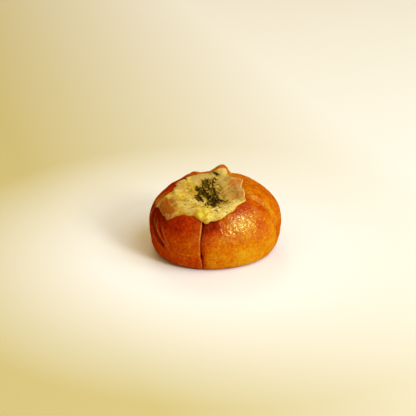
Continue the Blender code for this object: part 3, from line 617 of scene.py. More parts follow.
def bun_profile():
    """The unscored bun's outline, from the middle of the foot round the waist to the top of the crown."""
    foot = [(FOOT_RADIUS * share, 0.0) for share in FOOT_SHARES]
    flank = []
    for number in range(FLANK_RINGS):
        turn = 0.5 * math.pi * number / FLANK_RINGS
        out = math.sin(turn) ** (2.0 / FLANK_ROUNDNESS)
        down = math.cos(turn) ** (2.0 / FLANK_ROUNDNESS)
        flank.append((FOOT_RADIUS + (BUN_RADIUS - FOOT_RADIUS) * out, WAIST_HEIGHT * (1.0 - down)))
    open_turns = np.linspace(0.0, OPEN_SHARE, OPEN_RINGS, endpoint=False)
    hidden_turns = np.linspace(OPEN_SHARE, 1.0, HIDDEN_RINGS + 1)
    crown_shares = np.cos(0.5 * math.pi * np.concatenate([open_turns, hidden_turns])) ** RING_CROWDING
    crown_shares[-1] = 0.0
    crown = [(BUN_RADIUS * share, float(dome_height(share))) for share in crown_shares]
    return foot + flank + crown


def stray(cut, height, radius):
    """How far round the bun, in radians, a cut lies from its own angle at a height and a radius."""
    above = smooth_step(height, WAIST_HEIGHT, LEAN_TOP)
    lean = math.radians(cut.lean) * above * np.clip(1.0 - radius / BUN_RADIUS, 0.0, 1.0)
    return lean + cut.waver / BUN_RADIUS * np.cos(2.0 * math.pi * (height - CROWN_HEIGHT) / cut.period)


def gape(number, height):
    """Half the width of a cut's slit at a height."""
    cut = CUTS[number]
    width = cut.low + (cut.high - cut.low) * smooth_step(height, *GAPE_HEIGHTS)
    if number == HOLE_CUT:
        width = width + HOLE_GAPE * bell(height, HOLE_HEIGHT, HOLE_TALL)
    return 0.5 * width


def scored(angle, wedge, share, height, radius):
    """Angles with the cuts' lean, waver and gape, and how far the crust sinks into the cuts."""
    shift = np.zeros_like(angle)
    sink = np.zeros_like(angle)
    across_share = smooth_step(share, *WEDGE_BLEND)
    crown = crown_weight(height)
    for number, cut in enumerate(CUTS):
        after = wedge == number
        before = wedge == (number - 1) % len(CUTS)
        weight = np.where(after, 1.0 - across_share, 0.0) + np.where(before, across_share, 0.0)
        across = turn_between(angle, math.radians(cut.angle)) * BUN_RADIUS
        side = np.where(np.abs(across) < 1e-7, 0.0, np.sign(across))
        wall = np.clip(np.abs(across) / SLIT_HALF, 0.0, 1.0)
        opened = side * wall * (gape(number, height) - SLIT_HALF) * np.exp(-np.abs(across) / GAPE_SPREAD)
        shift += weight * stray(cut, height, radius) + np.where(after | before, opened / BUN_RADIUS, 0.0)
        depth, width = (np.where(side < 0.0, left, right) for left, right in zip(cut.left, cut.right))
        rolled = depth * np.exp(-np.abs(across) / width) * (1.0 + (cut.roll_above - 1.0) * crown)
        floor = CUT_DEPTH + (cut.above - CUT_DEPTH) * crown
        rolled = floor + (rolled - floor) * wall
        sink = np.maximum(sink, np.where(after | before, rolled, 0.0))
    sink = sink * smooth_step(height, *CUT_HEIGHTS) * smooth_step(radius, *CUT_RADII)
    return angle + shift, sink


def crumb_share(angle, wedge, height):
    """1 on the torn pale lip on the left of each cut, and 0 on the crust and deep in the cut."""
    total = np.zeros_like(angle)
    for number, cut in enumerate(CUTS):
        by_cut = (wedge == number) | (wedge == (number - 1) % len(CUTS))
        across = turn_between(angle, math.radians(cut.angle)) * BUN_RADIUS
        lip = smooth_step(across, *LIP_BEGINS) * (1.0 - smooth_step(across, *LIP_ENDS))
        total = np.maximum(total, np.where(by_cut, lip, 0.0))
    torn = TORN_EVEN + TORN_MORE * bell(height, TORN_HEIGHT, TORN_TALL)
    torn = torn + TORN_UNEVEN * np.sin(height * 1900.0) * np.sin(height * 730.0)
    return total * torn * smooth_step(height, 0.0010, 0.0040)


def fold_nearness(fold, angle, height, ragged):
    """1 along the middle of a fold of the skin, fading to its sides and its ends."""
    line = [(math.radians(place) * BUN_RADIUS, level) for place, level in fold.line]
    away, along = np.full_like(angle, 1.0), np.zeros_like(angle)
    for number, ((u0, v0), (u1, v1)) in enumerate(zip(line, line[1:])):
        du, dv = u1 - u0, v1 - v0
        share = ((angle * BUN_RADIUS - u0) * du + (height - v0) * dv) / (du * du + dv * dv)
        share = np.clip(share, 0.0, 1.0)
        off = np.hypot(angle * BUN_RADIUS - u0 - share * du, height - v0 - share * dv)
        along = np.where(off < away, (number + share) / (len(line) - 1), along)
        away = np.minimum(away, off)
    ends = smooth_step(along, 0.0, 0.2) * (1.0 - smooth_step(along, 0.8, 1.0))
    return bell(away + ragged, 0.0, fold.width) * (0.25 + 0.75 * ends)


def blisters(points):
    """Small raised blisters of the glaze, scattered over the upper flank."""
    rng = random.Random(SEED)
    total = np.zeros(len(points))
    for _ in range(BLISTERS):
        angle, height = rng.uniform(-math.pi, math.pi), rng.uniform(*BLISTER_HEIGHTS)
        reach = rng.uniform(*BLISTER_SIZES)
        radius = BUN_RADIUS * (1.0 if height < WAIST_HEIGHT else dome_share(height))
        middle = (*place_at(radius, angle, AXIS), height)
        away = np.linalg.norm(points - middle, axis=1) / reach
        total += BLISTER_RISE * np.clip(1.0 - away**2, 0.0, 1.0) ** 2
    return total


def bun_relief(points):
    """How far the crust's surface stands out from its smooth form."""
    height = points[:, 2]
    total = blisters(points)
    for number, (size, rise) in enumerate(CRUST_RELIEF):
        total += rise * soft_noise(points, size, SEED + number)
    wander = 0.5 * soft_noise(points, 0.012, SEED + 7)
    patch = smooth_step(soft_noise(points, 0.009, SEED + 8), -0.2, 0.6) * smooth_step(height, 0.006, 0.012)
    total += RIPPLE_HEIGHT * patch * np.sin(2.0 * math.pi * (height / RIPPLE_PITCH + wander))
    return total


def bake(points, sink):
    """How dark the crust is, 0 gold and 1 a deep red brown: its bake with painted shade laid into it."""
    _, angle = around_axis(points[:, 0], points[:, 1])
    aside, height = np.degrees(angle), points[:, 2]
    left = smooth_step(-aside, 6.0, 14.0) * smooth_step(aside, -150.0, -110.0)
    left_top = left * smooth_step(-aside, 8.0, 32.0) * smooth_step(height, 0.024, 0.040)
    left_side = bell(aside, -68.0, 24.0)
    # The left, turned away from the lamps, is darker: partly its bake, partly painted shade.
    total = EVEN_BAKE + LEFT_BAKE_AND_SHADE * left + LEFT_TOP_BAKE_AND_SHADE * left_top + LEFT_SIDE_BAKE_AND_SHADE * left_side
    # Painted shade in the front dent, beside the front slit and along the cheese's right edge; paler low
    # right.
    for amount, place, spread, begins, full in BAKED_AND_SHADED_SIDES:
        total = total + amount * bell(aside, place, spread) * smooth_step(height, begins, full)
    # Painted light on the shaded left rim, and painted shade below the cheese's film.
    for amount, place, spread, level, tall in PAINTED_LIGHT_AND_SHADE_PATCHES:
        total = total + amount * bell(aside, place, spread) * bell(height, level, tall)
    # Painted shade along the crown's valley.
    total = total + 0.10 * valley_share(points[:, 0], points[:, 1])
    # Darker in a thin band at the very foot.
    total = total + 0.55 * (1.0 - smooth_step(height, 0.0004, 0.0022))
    # Painted shade where the crust sinks into the cuts and dents.
    total = total + 0.10 * smooth_step(sink, 0.0003, 0.0010) + 0.25 * smooth_step(sink, 0.0012, 0.0030)
    return total + 0.10 * soft_noise(points, 0.012, SEED + 20) + 0.08 * soft_noise(points, 0.005, SEED + 21)


def dry_share(points):
    """Where the crust has no glaze: low on the side, far round the left and in the dent at the front."""
    _, angle = around_axis(points[:, 0], points[:, 1])
    aside, height = np.degrees(angle), points[:, 2]
    low = 1.0 - smooth_step(height, *DRY_BELOW)
    left = smooth_step(-aside, *DRY_LEFT) * smooth_step(aside, *DRY_BEHIND)
    dent = bell(aside, DRY_DENT, DRY_DENT_SPREAD) * smooth_step(height, *DRY_DENT_ABOVE)
    return np.maximum.reduce([low, left, dent])


def shape_bun(form, steps):
    """Shapes the turned form: scored, sunk under the cheese, dented, creased and blistered."""
    start = places(form)
    radius = np.hypot(start[:, 0], start[:, 1])
    height = start[:, 2]
    turn = np.arctan2(start[:, 1], start[:, 0]) % (2.0 * math.pi)
    line = np.rint(turn / (2.0 * math.pi / steps)).astype(int) % steps
    angle, wedge, share = (values[line] for values in meridians(steps))
    crumb = crumb_share(angle, wedge, height)
    angle, sink = scored(angle, wedge, share, height, radius)
    radius = radius * outline_share(angle)
    x, y = place_at(radius, angle, AXIS)
    z = height + (crown_change(x, y) - seat_depth(x, y)) * crown_weight(height)
    for place, level, spread, depth in DENTS:
        aside = turn_between(angle, math.radians(place)) * radius
        near = np.exp(-(aside**2 + (z - level) ** 2) / spread**2)
        sink = sink + depth * near * smooth_step(radius, *DENT_FADE)
    points = np.stack([x, y, z], axis=1)
    inward = np.array([*AXIS, SINK_TOWARDS]) - points
    inward[:, 2] = np.minimum(inward[:, 2], 0.0)
    inward /= np.maximum(np.linalg.norm(inward, axis=1, keepdims=True), 1e-9)
    points += inward * sink[:, None]
    points[height <= 0.0, 2] = 0.0
    move_to(form, points)
    outwards(form)
    relief, bake_and_shade_sum, crumb_and_painted_highlight = bun_relief(points), bake(points, sink), crumb
    ragged = 0.0005 * soft_noise(points, 0.0026, SEED + 9)
    broken = 0.35 + 0.65 * smooth_step(soft_noise(points, 0.0019, SEED + 10), -0.25, 0.35)
    _, aside = around_axis(points[:, 0], points[:, 1])
    # The folds lay painted shade along their creases and painted highlights along their ridges.
    for fold in FOLDS:
        near = fold_nearness(fold, aside, points[:, 2], ragged)
        relief, bake_and_shade_sum = relief - fold.depth * near, bake_and_shade_sum + fold.dark * near
        crumb_and_painted_highlight = np.maximum(crumb_and_painted_highlight, fold.pale * near * broken)
    relief = relief * smooth_step(height, 0.0, 0.003)
    under_cheese = 1.0 - smooth_step(seat_depth(x, y), 0.0, 0.0004)
    points += normals(form) * (relief * np.where(height > 0.03, under_cheese, 1.0))[:, None]
    move_to(form, points)
    # Paints how dark the crust is, bake and painted shade together, and its pale crumb with painted
    # highlights.
    paint(form, "bake", np.clip(bake_and_shade_sum, 0.0, 1.0))
    paint(form, "dry", dry_share(points))
    # The crumb attribute also holds the painted highlights on the folds' ridges.
    paint(form, "crumb", crumb_and_painted_highlight)


def make_bun(material):
    form = turned(bun_profile(), BUN_STEPS)
    shape_bun(form, BUN_STEPS)
    return add_piece("bun_crust", form, material, "crust", "bun")


# ---------------------------------------------------------------- the cheese


def lens_profile(top_rings, under_rings):
    """A flat lens of unit radius: its upper points lie above zero height, and its under points below."""
    over = [(math.sin(0.5 * math.pi * n / top_rings), 1.0) for n in range(top_rings)]
    under = [(math.sin(0.5 * math.pi * n / under_rings), -1.0) for n in range(under_rings)]
    return over + [(1.0, 0.0)] + under[::-1]


def lens_places(form):
    """For each vertex of a lens its share of the radius, its turn, and whether it is on the under side."""
    start = places(form)
    return np.hypot(start[:, 0], start[:, 1]), np.arctan2(start[:, 1], start[:, 0]), start[:, 2] < -0.5


def spotted(x, y, spots, ragged):
    """The strongest of the spots at each place, with ragged edges."""
    total = np.zeros_like(x)
    for middle_x, middle_y, reach, strength in spots:
        away = np.hypot(x - middle_x, y - middle_y) / reach + ragged
        total = np.maximum(total, strength * (1.0 - smooth_step(away, 0.45, 1.15)))
    return total


def strewn_place(rng):
    """A random place on the cheese."""
    out, place = math.sqrt(rng.random()) * STREWN_REACH, rng.uniform(0.0, 2.0 * math.pi)
    return CHEESE_MIDDLE[0] + out * math.cos(place), CHEESE_MIDDLE[1] + out * math.sin(place)


def strip_place(rng):
    """A random place in the strip near the cheese's front edge."""
    along, across = rng.uniform(-1.0, 1.0) * STRIP_LONG, rng.uniform(-1.0, 1.0) * STRIP_WIDE
    step_x, step_y = rotated(along, across, math.radians(STRIP_TURN))
    return STRIP_MIDDLE[0] + step_x, STRIP_MIDDLE[1] + step_y


def shreds(x, y):
    """Half-melted shreds of cheese, low rounded ridges that cross: their rise, and how plainly they show."""
    rng = random.Random(SEED + 1)
    total, plain = np.zeros_like(x), np.zeros_like(x)
    for kind, somewhere in ((SHREDS, strewn_place), (STRIP_SHREDS, strip_place)):
        for _ in range(kind.number):
            middle = somewhere(rng)
            turn, length = rng.uniform(0.0, math.pi), rng.uniform(*kind.lengths)
            width, bend = rng.uniform(*kind.widths), rng.uniform(*kind.bends)
            rise = rng.uniform(*kind.rises)
            along, off = rotated(x - middle[0], y - middle[1], -turn)
            off = off - bend * (1.0 - (2.0 * along / length) ** 2)
            ends = np.clip(1.0 - (2.0 * along / length) ** 4, 0.0, 1.0)
            ridge = np.clip(1.0 - (off / width) ** 2, 0.0, 1.0) ** 0.8
            total = np.maximum(total, rise * ridge * ends)
            plain = np.maximum(plain, kind.plainness * ridge**2 * ends)
    return total, plain


def pitted(x, y):
    """Small pits and bubbles where steam came through the cheese."""
    rng = random.Random(SEED + 2)
    total = np.zeros_like(x)
    for number in range(PITS + BUBBLES):
        pit = number < PITS
        middle_x, middle_y = strewn_place(rng)
        reach = rng.uniform(*(PIT_SIZES if pit else BUBBLE_SIZES))
        away = np.hypot(x - middle_x, y - middle_y) / reach
        dome = np.clip(1.0 - away**2, 0.0, 1.0) ** (1.5 if pit else 0.9)
        total += (-PIT_DEPTH if pit else BUBBLE_RISE) * dome
    return total


def lip_share(angle):
    """How much of its lip the cheese keeps at an angle: films have hardly any."""
    lost = sum(share * beside(angle, place, spread) for place, spread, share in THIN_EDGES)
    return np.clip(1.0 - lost, LEAST_LIP, 1.0)


def sag(x, y):
    """How far the cheese has sunk with the rolled edge of the cut that it lies across."""
    radius, angle = around_axis(x, y)
    cut_angle = math.radians(SAG_CUT.angle) + stray(SAG_CUT, crown_height(x, y), radius)
    across = np.abs(turn_between(angle, cut_angle)) * radius
    return SAG_DEPTH * np.exp(-across / SAG_WIDTH) * smooth_step(radius, *SAG_START)


def cheese_points(form):
    """The place of each vertex of the lens once it lies on the crown as melted cheese."""
    share, turn, is_under = lens_places(form)
    rim = np.stack([np.sin(turn), np.cos(turn), np.zeros_like(turn)], axis=1)
    frill = 0.0005 * soft_noise(rim, 0.11, SEED + 30) + 0.0002 * soft_noise(rim, 0.04, SEED + 31)
    reach = cheese_reach(turn) + frill
    x, y = place_at(share * reach, turn, CHEESE_MIDDLE)
    inside = (1.0 - share) * reach
    base = np.stack([x, y, crown_height(x, y)], axis=1)
    normal = crown_normal(x, y)
    base = base - normal * sag(x, y)[:, None]
    rounded = np.sqrt(np.clip(1.0 - np.clip(1.0 - inside / LIP_RUN, 0.0, 1.0) ** 2, 0.0, 1.0))
    kept = lip_share(turn) + (1.0 - lip_share(turn)) * smooth_step(inside, *LIP_WHOLE)
    lift = CLEARANCE + CHEESE_LIP * rounded * kept + kept * lumps(x, y) * smooth_step(inside, 0.0, 0.006)
    sheet = smooth_step(x, *SHEET_LEFT) * smooth_step(y, *SHEET_FRONT)
    fine = (shreds(x, y)[0] + pitted(x, y)) * (1.0 - SHEET_CALM * sheet)
    for number, (size, rise) in enumerate(CHEESE_RELIEF):
        fine += rise * soft_noise(base, size, SEED + 40 + number)
    lift = lift + fine * smooth_step(inside, 0.0, 0.0012) * (0.35 + 0.65 * kept)
    lift = np.maximum(lift, CLEARANCE * (1.0 + rounded))
    over = base + normal * lift[:, None]
    gap = CLEARANCE + (CURVED_CLEARANCE - CLEARANCE) * smooth_step(inside, 0.0, LIP_RUN)
    under = base + normal * gap[:, None]
    under[:, 2] -= seat_depth(x, y)
    return np.where(is_under[:, None], under, over), inside, turn


def paint_cheese(form, points, inside, turn):
    """Keeps where the cheese has each tint, or is near its edge."""
    x, y = points[:, 0], points[:, 1]
    ragged = 0.30 * soft_noise(points, 0.0042, SEED + 50) + 0.34 * soft_noise(points, 0.0017, SEED + 51)
    for name, _, spots in TINTS:
        paint(form, name, spotted(x, y, spots, ragged * (1.0 if name in CURDLED else FILM_RAGGED)))
    paint(form, "shred", shreds(x, y)[1])
    paint(form, "rim", 1.0 - smooth_step(inside, 0.0003, 0.0016))
    band = sum(width * beside(turn, place, spread) for place, spread, width in BROWNED_EDGES)
    wobble = 1.0 + 0.4 * soft_noise(points, 0.0030, SEED + 52)
    paint(form, "browned", 1.0 - smooth_step(inside / np.maximum(band * wobble, 1e-5), 0.6, 1.2))
    milky = beside(turn, MILKY_RIM, MILKY_SPREAD) * (1.0 - smooth_step(inside, 0.0003, 0.0011))
    paint(form, "milky_rim", milky)


def make_cheese(material):
    form = turned(lens_profile(CHEESE_RINGS, UNDER_RINGS), CHEESE_STEPS)
    points, inside, turn = cheese_points(form)
    move_to(form, points)
    outwards(form)
    paint_cheese(form, points, inside, turn)
    return add_piece("melted_cheese", form, material, "cheese", "cheese")


# ---------------------------------------------------------------- the herb


def height_over(*pieces):
    """A function that gives the height of the highest of the pieces at each place."""
    trees = [
        BVHTree.FromPolygons([v.co for v in piece.data.vertices], [p.vertices for p in piece.data.polygons])
        for piece in pieces
    ]
    down, above = Vector((0.0, 0.0, -1.0)), 1.0

    def height(x, y):
        levels = []
        for px, py in zip(x, y):
            hits = [tree.ray_cast(Vector((px, py, above)), down)[0] for tree in trees]
            levels.append(max(hit.z for hit in hits if hit is not None))
        return np.array(levels)

    return height


def heap_place(along, across, middle=HEAP_MIDDLE):
    """The place that lies along and across the heap's length from a middle."""
    step_x, step_y = rotated(along, across, math.radians(HEAP_TURN))
    return middle[0] + step_x, middle[1] + step_y


def heap_share(x, y):
    """0 in the middle of the herb heap and 1 at its edge."""
    along, across = rotated(x - HEAP_MIDDLE[0], y - HEAP_MIDDLE[1], -math.radians(HEAP_TURN))
    return np.hypot(along / HEAP_LONG, across / HEAP_WIDE)


def make_heap_core(material, cheese_at):
    """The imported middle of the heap, a thin rough lens that the slips lie on."""
    form = turned(lens_profile(CORE_RINGS, CORE_UNDER_RINGS), CORE_STEPS)
    share, turn, is_under = lens_places(form)
    for wave in CORE_WAVES:
        share = share * (1.0 + wave_sum(turn, (wave,)))
    reach = CORE_SHARE * share
    x, y = heap_place(reach * HEAP_LONG * np.cos(turn), reach * HEAP_WIDE * np.sin(turn))
    level = np.clip(1.0 - (heap_share(x, y) / CORE_SHARE) ** 2, 0.0, 1.0)
    rough = 0.00035 * soft_noise(np.stack([x, y, np.zeros_like(x)], axis=1), 0.0014, SEED + 60)
    under = cheese_at(x, y) + CLEARANCE
    over = under + (CORE_HIGH + rough) * level + CORE_RIM
    points = np.stack([x, y, np.where(is_under, under, over)], axis=1)
    move_to(form, points)
    outwards(form)
    paint(form, "shade", 0.74 + 0.30 * soft_noise(points, 0.0016, SEED + 61))
    return add_piece("herb_heap", form, material, "herbs", "herbs")


def slip_pattern():
    """A mesh of one flat spindle of unit length and width, which every slip of leaf starts from."""
    return as_mesh("slip_pattern", turned(SLIP_OUTLINE, SLIP_SIDES))


def lay_slip(form, pattern, shade_layer, rng, bed, middle, length, way, lift):
    """Adds one curled slip of leaf, folded along its rib, twisted and bowed, lying on the bed."""
    before = len(form.verts)
    form.from_mesh(pattern)
    form.verts.ensure_lookup_table()
    added = form.verts[before:]
    across, up, along = np.array([vertex.co for vertex in added], float).T
    width, bow = rng.uniform(*SLIP_WIDTHS), rng.uniform(-SLIP_BOW, SLIP_BOW)
    is_short = length < SLIP_LENGTHS[0]
    if is_short:
        width, bow = SHORT_WIDTH * width, SHORT_BOW * bow
    twist, lean = rng.uniform(-SLIP_TWIST, SLIP_TWIST), rng.uniform(-SLIP_LEAN, SLIP_LEAN)
    shade = rng.random() ** 2
    folded = up * SLIP_THICKNESS * 2.0 + SLIP_FOLD * np.abs(across) * width
    across, up = rotated(across * width, folded, lean + twist * along)
    to_tip = (2.0 * along) ** 2
    line_x, line_y = rotated(along * length, bow * (1.0 - to_tip), way)
    line_x, line_y = middle[0] + line_x, middle[1] + line_y
    tips = rng.uniform(0.0, SLIP_CURL) * to_tip + rng.uniform(0.0, SLIP_RISE) * along
    if is_short:
        tips = tips * SHORT_BOW
    z = bed(line_x, line_y) + 0.5 * SLIP_THICKNESS + lift + tips + up
    x, y = line_x - across * math.sin(way), line_y + across * math.cos(way)
    for vertex, point in zip(added, np.stack([x, y, z], axis=1)):
        vertex.co = point
        vertex[shade_layer] = shade


def make_slips(material, bed):
    """Every curled slip of leaf: the heap's, the strewn ones and the flecks, in one piece."""
    rng = random.Random(SEED + 3)
    form = bmesh.new()
    shade_layer = form.verts.layers.float.new("shade")
    pattern = slip_pattern()
    tools = (form, pattern, shade_layer, rng, bed)
    for middle_x, middle_y, long, wide, count in CLUSTERS:
        for _ in range(count):
            out, turn = math.sqrt(rng.random()), rng.uniform(0.0, 2.0 * math.pi)
            along, across = out * long * math.cos(turn), out * wide * math.sin(turn)
            middle = heap_place(along, across, (middle_x, middle_y))
            splay = rng.gauss(0.0, ALONG_SPLAY) if rng.random() < ALONG_SHARE else rng.uniform(-90.0, 90.0)
            way, length = math.radians(HEAP_TURN + ALONG_LEAD + splay), rng.uniform(*SLIP_LENGTHS)
            lay_slip(*tools, middle, length, way, rng.uniform(0.0, PILE_LIFT) * (1.0 - out**2))
    for x, y, length, turn in STREWN:
        lay_slip(*tools, (x, y), length, math.radians(turn), 0.0)
    for _ in range(FLECKS):
        out, turn = rng.uniform(*FLECK_REACH), rng.uniform(0.0, 2.0 * math.pi)
        along, across = out * HEAP_LONG * math.cos(turn) * FLECK_ALONG, out * HEAP_WIDE * math.sin(turn)
        middle = heap_place(along, across)
        radius, angle = cheese_polar(np.array([middle[0]]), np.array([middle[1]]))
        if radius[0] > cheese_reach(angle)[0] - EDGE_MARGIN:
            continue
        length = rng.uniform(*FLECK_LENGTHS)
        lay_slip(*tools, middle, length, rng.uniform(0.0, math.pi), 0.0)
    bmesh.ops.recalc_face_normals(form, faces=form.faces)
    bpy.data.meshes.remove(pattern)
    return add_piece("herb_slips", form, material, "herbs", "herbs", "cheese")


# ---------------------------------------------------------------- finishes


class Socket:
    """An output of a shader node: maths on it reads as an expression and adds Math nodes."""

    def __init__(self, finish, output):
        self.finish, self.output = finish, output

    def math(self, operation, *values, clamp=False):
        settings = {"operation": operation, "use_clamp": clamp}
        return self.finish.node("ShaderNodeMath", settings, dict(enumerate(values)))

    def __add__(self, other):
        return self.math("ADD", self, other)

    def __sub__(self, other):
        return self.math("SUBTRACT", self, other)

    def __rsub__(self, other):
        return self.math("SUBTRACT", other, self)

    def __mul__(self, other):
        return self.math("MULTIPLY", self, other)

    def clamped(self):
        return self.math("ADD", self, 0.0, clamp=True)

    __radd__ = __add__
    __rmul__ = __mul__


class Finish:
    """A material under construction, with short ways to the nodes that it is made of."""

    def __init__(self, name):
        self.material = bpy.data.materials.new(name)
        self.material.use_nodes = True
        self.tree = self.material.node_tree
        self.shader = self.tree.nodes["Principled BSDF"]
        self.place = self.node("ShaderNodeTexCoord", output="Object")

    def node(self, kind, settings=None, inputs=None, output=0):
        """Adds a node of this type, sets its settings first and then its sockets, and gives an output."""
        node = self.tree.nodes.new(kind)
        for name, value in (settings or {}).items():
            if name == "stops":
                self.set_stops(node.color_ramp, value)
            else:
                setattr(node, name, value)
        for name, value in (inputs or {}).items():
            self.feed(node.inputs[name], value)
        return Socket(self, node.outputs[output])

    def feed(self, socket, value):
        """Links a socket, or sets its own value."""
        if isinstance(value, Socket):
            self.tree.links.new(value.output, socket)
        elif isinstance(value, tuple) and len(value) == 3 and socket.type == "RGBA":
            socket.default_value = (*value, 1.0)
        else:
            socket.default_value = value

    @staticmethod
    def set_stops(ramp, stops):
        while len(ramp.elements) < len(stops):
            ramp.elements.new(1.0)
        for element, (position, colour) in zip(ramp.elements, stops):
            element.position = position
            element.color = (*colour, 1.0)

    def attribute(self, name):
        return self.node("ShaderNodeAttribute", {"attribute_name": name}, output="Fac")

    def noise(self, size, detail=2.0, roughness=0.5, lead=0.0):
        """Noise with blotches of this size in metres, about 0.5 on average."""
        place = self.place
        if lead:
            place = self.node("ShaderNodeVectorMath", {"operation": "ADD"}, {0: place, 1: (lead, lead, lead)})
        inputs = {"Vector": place, "Scale": 1.0 / size, "Detail": detail, "Roughness": roughness}
        return self.node("ShaderNodeTexNoise", None, inputs, "Fac")

    def ramp(self, value, stops):
        return self.node("ShaderNodeValToRGB", {"stops": stops}, {"Fac": value}, "Color")

    def mix(self, share, first, second):
        """A colour between two, by share."""
        inputs = {0: share, 6: first, 7: second}
        return self.node("ShaderNodeMix", {"data_type": "RGBA"}, inputs, 2)

    def layered(self, colour, *layers):
        """A colour with others laid over it in turn, each by its share."""
        for share, over in layers:
            colour = self.mix(share, colour, over)
        return colour

    def band(self, value, low, high):
        """0 below low, 1 above high, and a straight climb between them."""
        inputs = {"Value": value, "From Min": low, "From Max": high}
        return self.node("ShaderNodeMapRange", {"clamp": True}, inputs)

    def bump(self, height, distance, strength=1.0, under=None):
        inputs = {"Height": height, "Distance": distance, "Strength": strength}
        if under is not None:
            inputs["Normal"] = under
        return self.node("ShaderNodeBump", None, inputs)

    def surface(self, **values):
        """Sets the surface shader's sockets: a name such as base_color means Base Color."""
        for name, value in values.items():
            self.feed(self.shader.inputs[name.replace("_", " ").title().replace("Ior", "IOR")], value)
        return self.material

    def dull(self, low, high, most, dry=0.0):
        """Takes the gloss off where the surface is dry, or seen edge-on."""
        shader = self.shader
        edgeways = self.node("ShaderNodeLayerWeight", None, {"Blend": 0.5}, "Facing")
        links = {socket.name: socket.links[0].from_socket for socket in shader.inputs if socket.is_linked}
        matt = {name: Socket(self, links[name]) for name in ("Base Color", "Normal")}
        matt.update({"Roughness": 0.9, "Specular IOR Level": 0.0})
        plain = self.node("ShaderNodeBsdfPrincipled", None, matt, "BSDF")
        edge = most * self.band(edgeways, low, high)
        share = edge.math("MAXIMUM", edge, dry)
        parts = {0: share, 1: Socket(self, shader.outputs["BSDF"]), 2: plain}
        mixed = self.node("ShaderNodeMixShader", None, parts)
        self.tree.links.new(mixed.output, self.tree.nodes["Material Output"].inputs["Surface"])


GOLD, AMBER, ORANGE = (0.61, 0.30, 0.008), (0.57, 0.178, 0.002), (0.50, 0.094, 0.0008)
RUST, MAHOGANY, UMBER = (0.43, 0.041, 0.0005), (0.34, 0.018, 0.0004), (0.18, 0.009, 0.0006)
# The crumb's colours, which also paint the highlights on the folds' ridges.
PALE_CRUMB_AND_HIGHLIGHT, TOASTED_CRUMB_AND_HIGHLIGHT = (0.74, 0.44, 0.07), (0.60, 0.26, 0.02)


def crust_finish():
    """Egg-washed crust: gold to mahogany by its bake and painted shade, mottled, with a soft gloss."""
    finish = Finish("glazed_crust")
    blotches = finish.noise(0.0055, 3.0, 0.65)
    mottles = finish.noise(0.0020, 2.0, 0.6, lead=0.6)
    grain = finish.noise(0.0011, 2.0, 0.6, lead=0.3)
    specks = finish.noise(0.0007, 1.0, 0.5, lead=0.7)
    # How dark the crust is, its bake with painted shade, mottled by the noises.
    mottled_bake_and_shade = finish.attribute("bake")
    for noise, strength in ((blotches, 0.55), (mottles, 0.55), (grain, 0.35)):
        mottled_bake_and_shade = mottled_bake_and_shade + strength * (noise - 0.5)
    stops = ((0.0, GOLD), (0.22, AMBER), (0.42, ORANGE), (0.62, RUST), (0.82, MAHOGANY), (1.0, UMBER))
    golden = finish.band(finish.noise(0.0018, 2.0, 0.6, lead=0.5), 0.52, 0.66)
    # The torn crumb of the lips, with the painted highlights on the folds' ridges.
    torn = finish.attribute("crumb")
    crumb = finish.mix(finish.band(grain, 0.35, 0.6), TOASTED_CRUMB_AND_HIGHLIGHT, PALE_CRUMB_AND_HIGHLIGHT)
    colour = finish.layered(
        finish.ramp(mottled_bake_and_shade.clamped(), stops),
        (0.70 * golden * finish.band(mottled_bake_and_shade, 0.50, 0.24), GOLD),
        (0.20 * finish.band(specks, 0.62, 0.75), MAHOGANY),
        (0.80 * torn, crumb),
    )
    peel = finish.bump(finish.noise(0.0022, 1.2, 0.5, lead=0.9), 0.00100, 0.95)
    pores = finish.bump(finish.noise(0.0007, 2.0, 0.6, lead=0.1), 0.00010, 0.5, peel)
    finish.surface(
        base_color=colour,
        roughness=0.09 + 0.09 * grain + 0.4 * torn,
        specular_ior_level=0.72,
        specular_tint=(0.55, 1.0, 0.36),
        subsurface_weight=0.04,
        subsurface_radius=(0.0030, 0.0012, 0.0005),
        subsurface_scale=1.0,
        normal=pores,
    )
    finish.dull(0.08, 0.42, 0.985, 0.96 * finish.attribute("dry"))
    return finish.material


YELLOW, CREAM = (0.43, 0.225, 0.004), (0.52, 0.350, 0.030)
GOLDEN, MILK, BROWNED = (0.46, 0.20, 0.003), (0.78, 0.64, 0.25), (0.46, 0.125, 0.004)


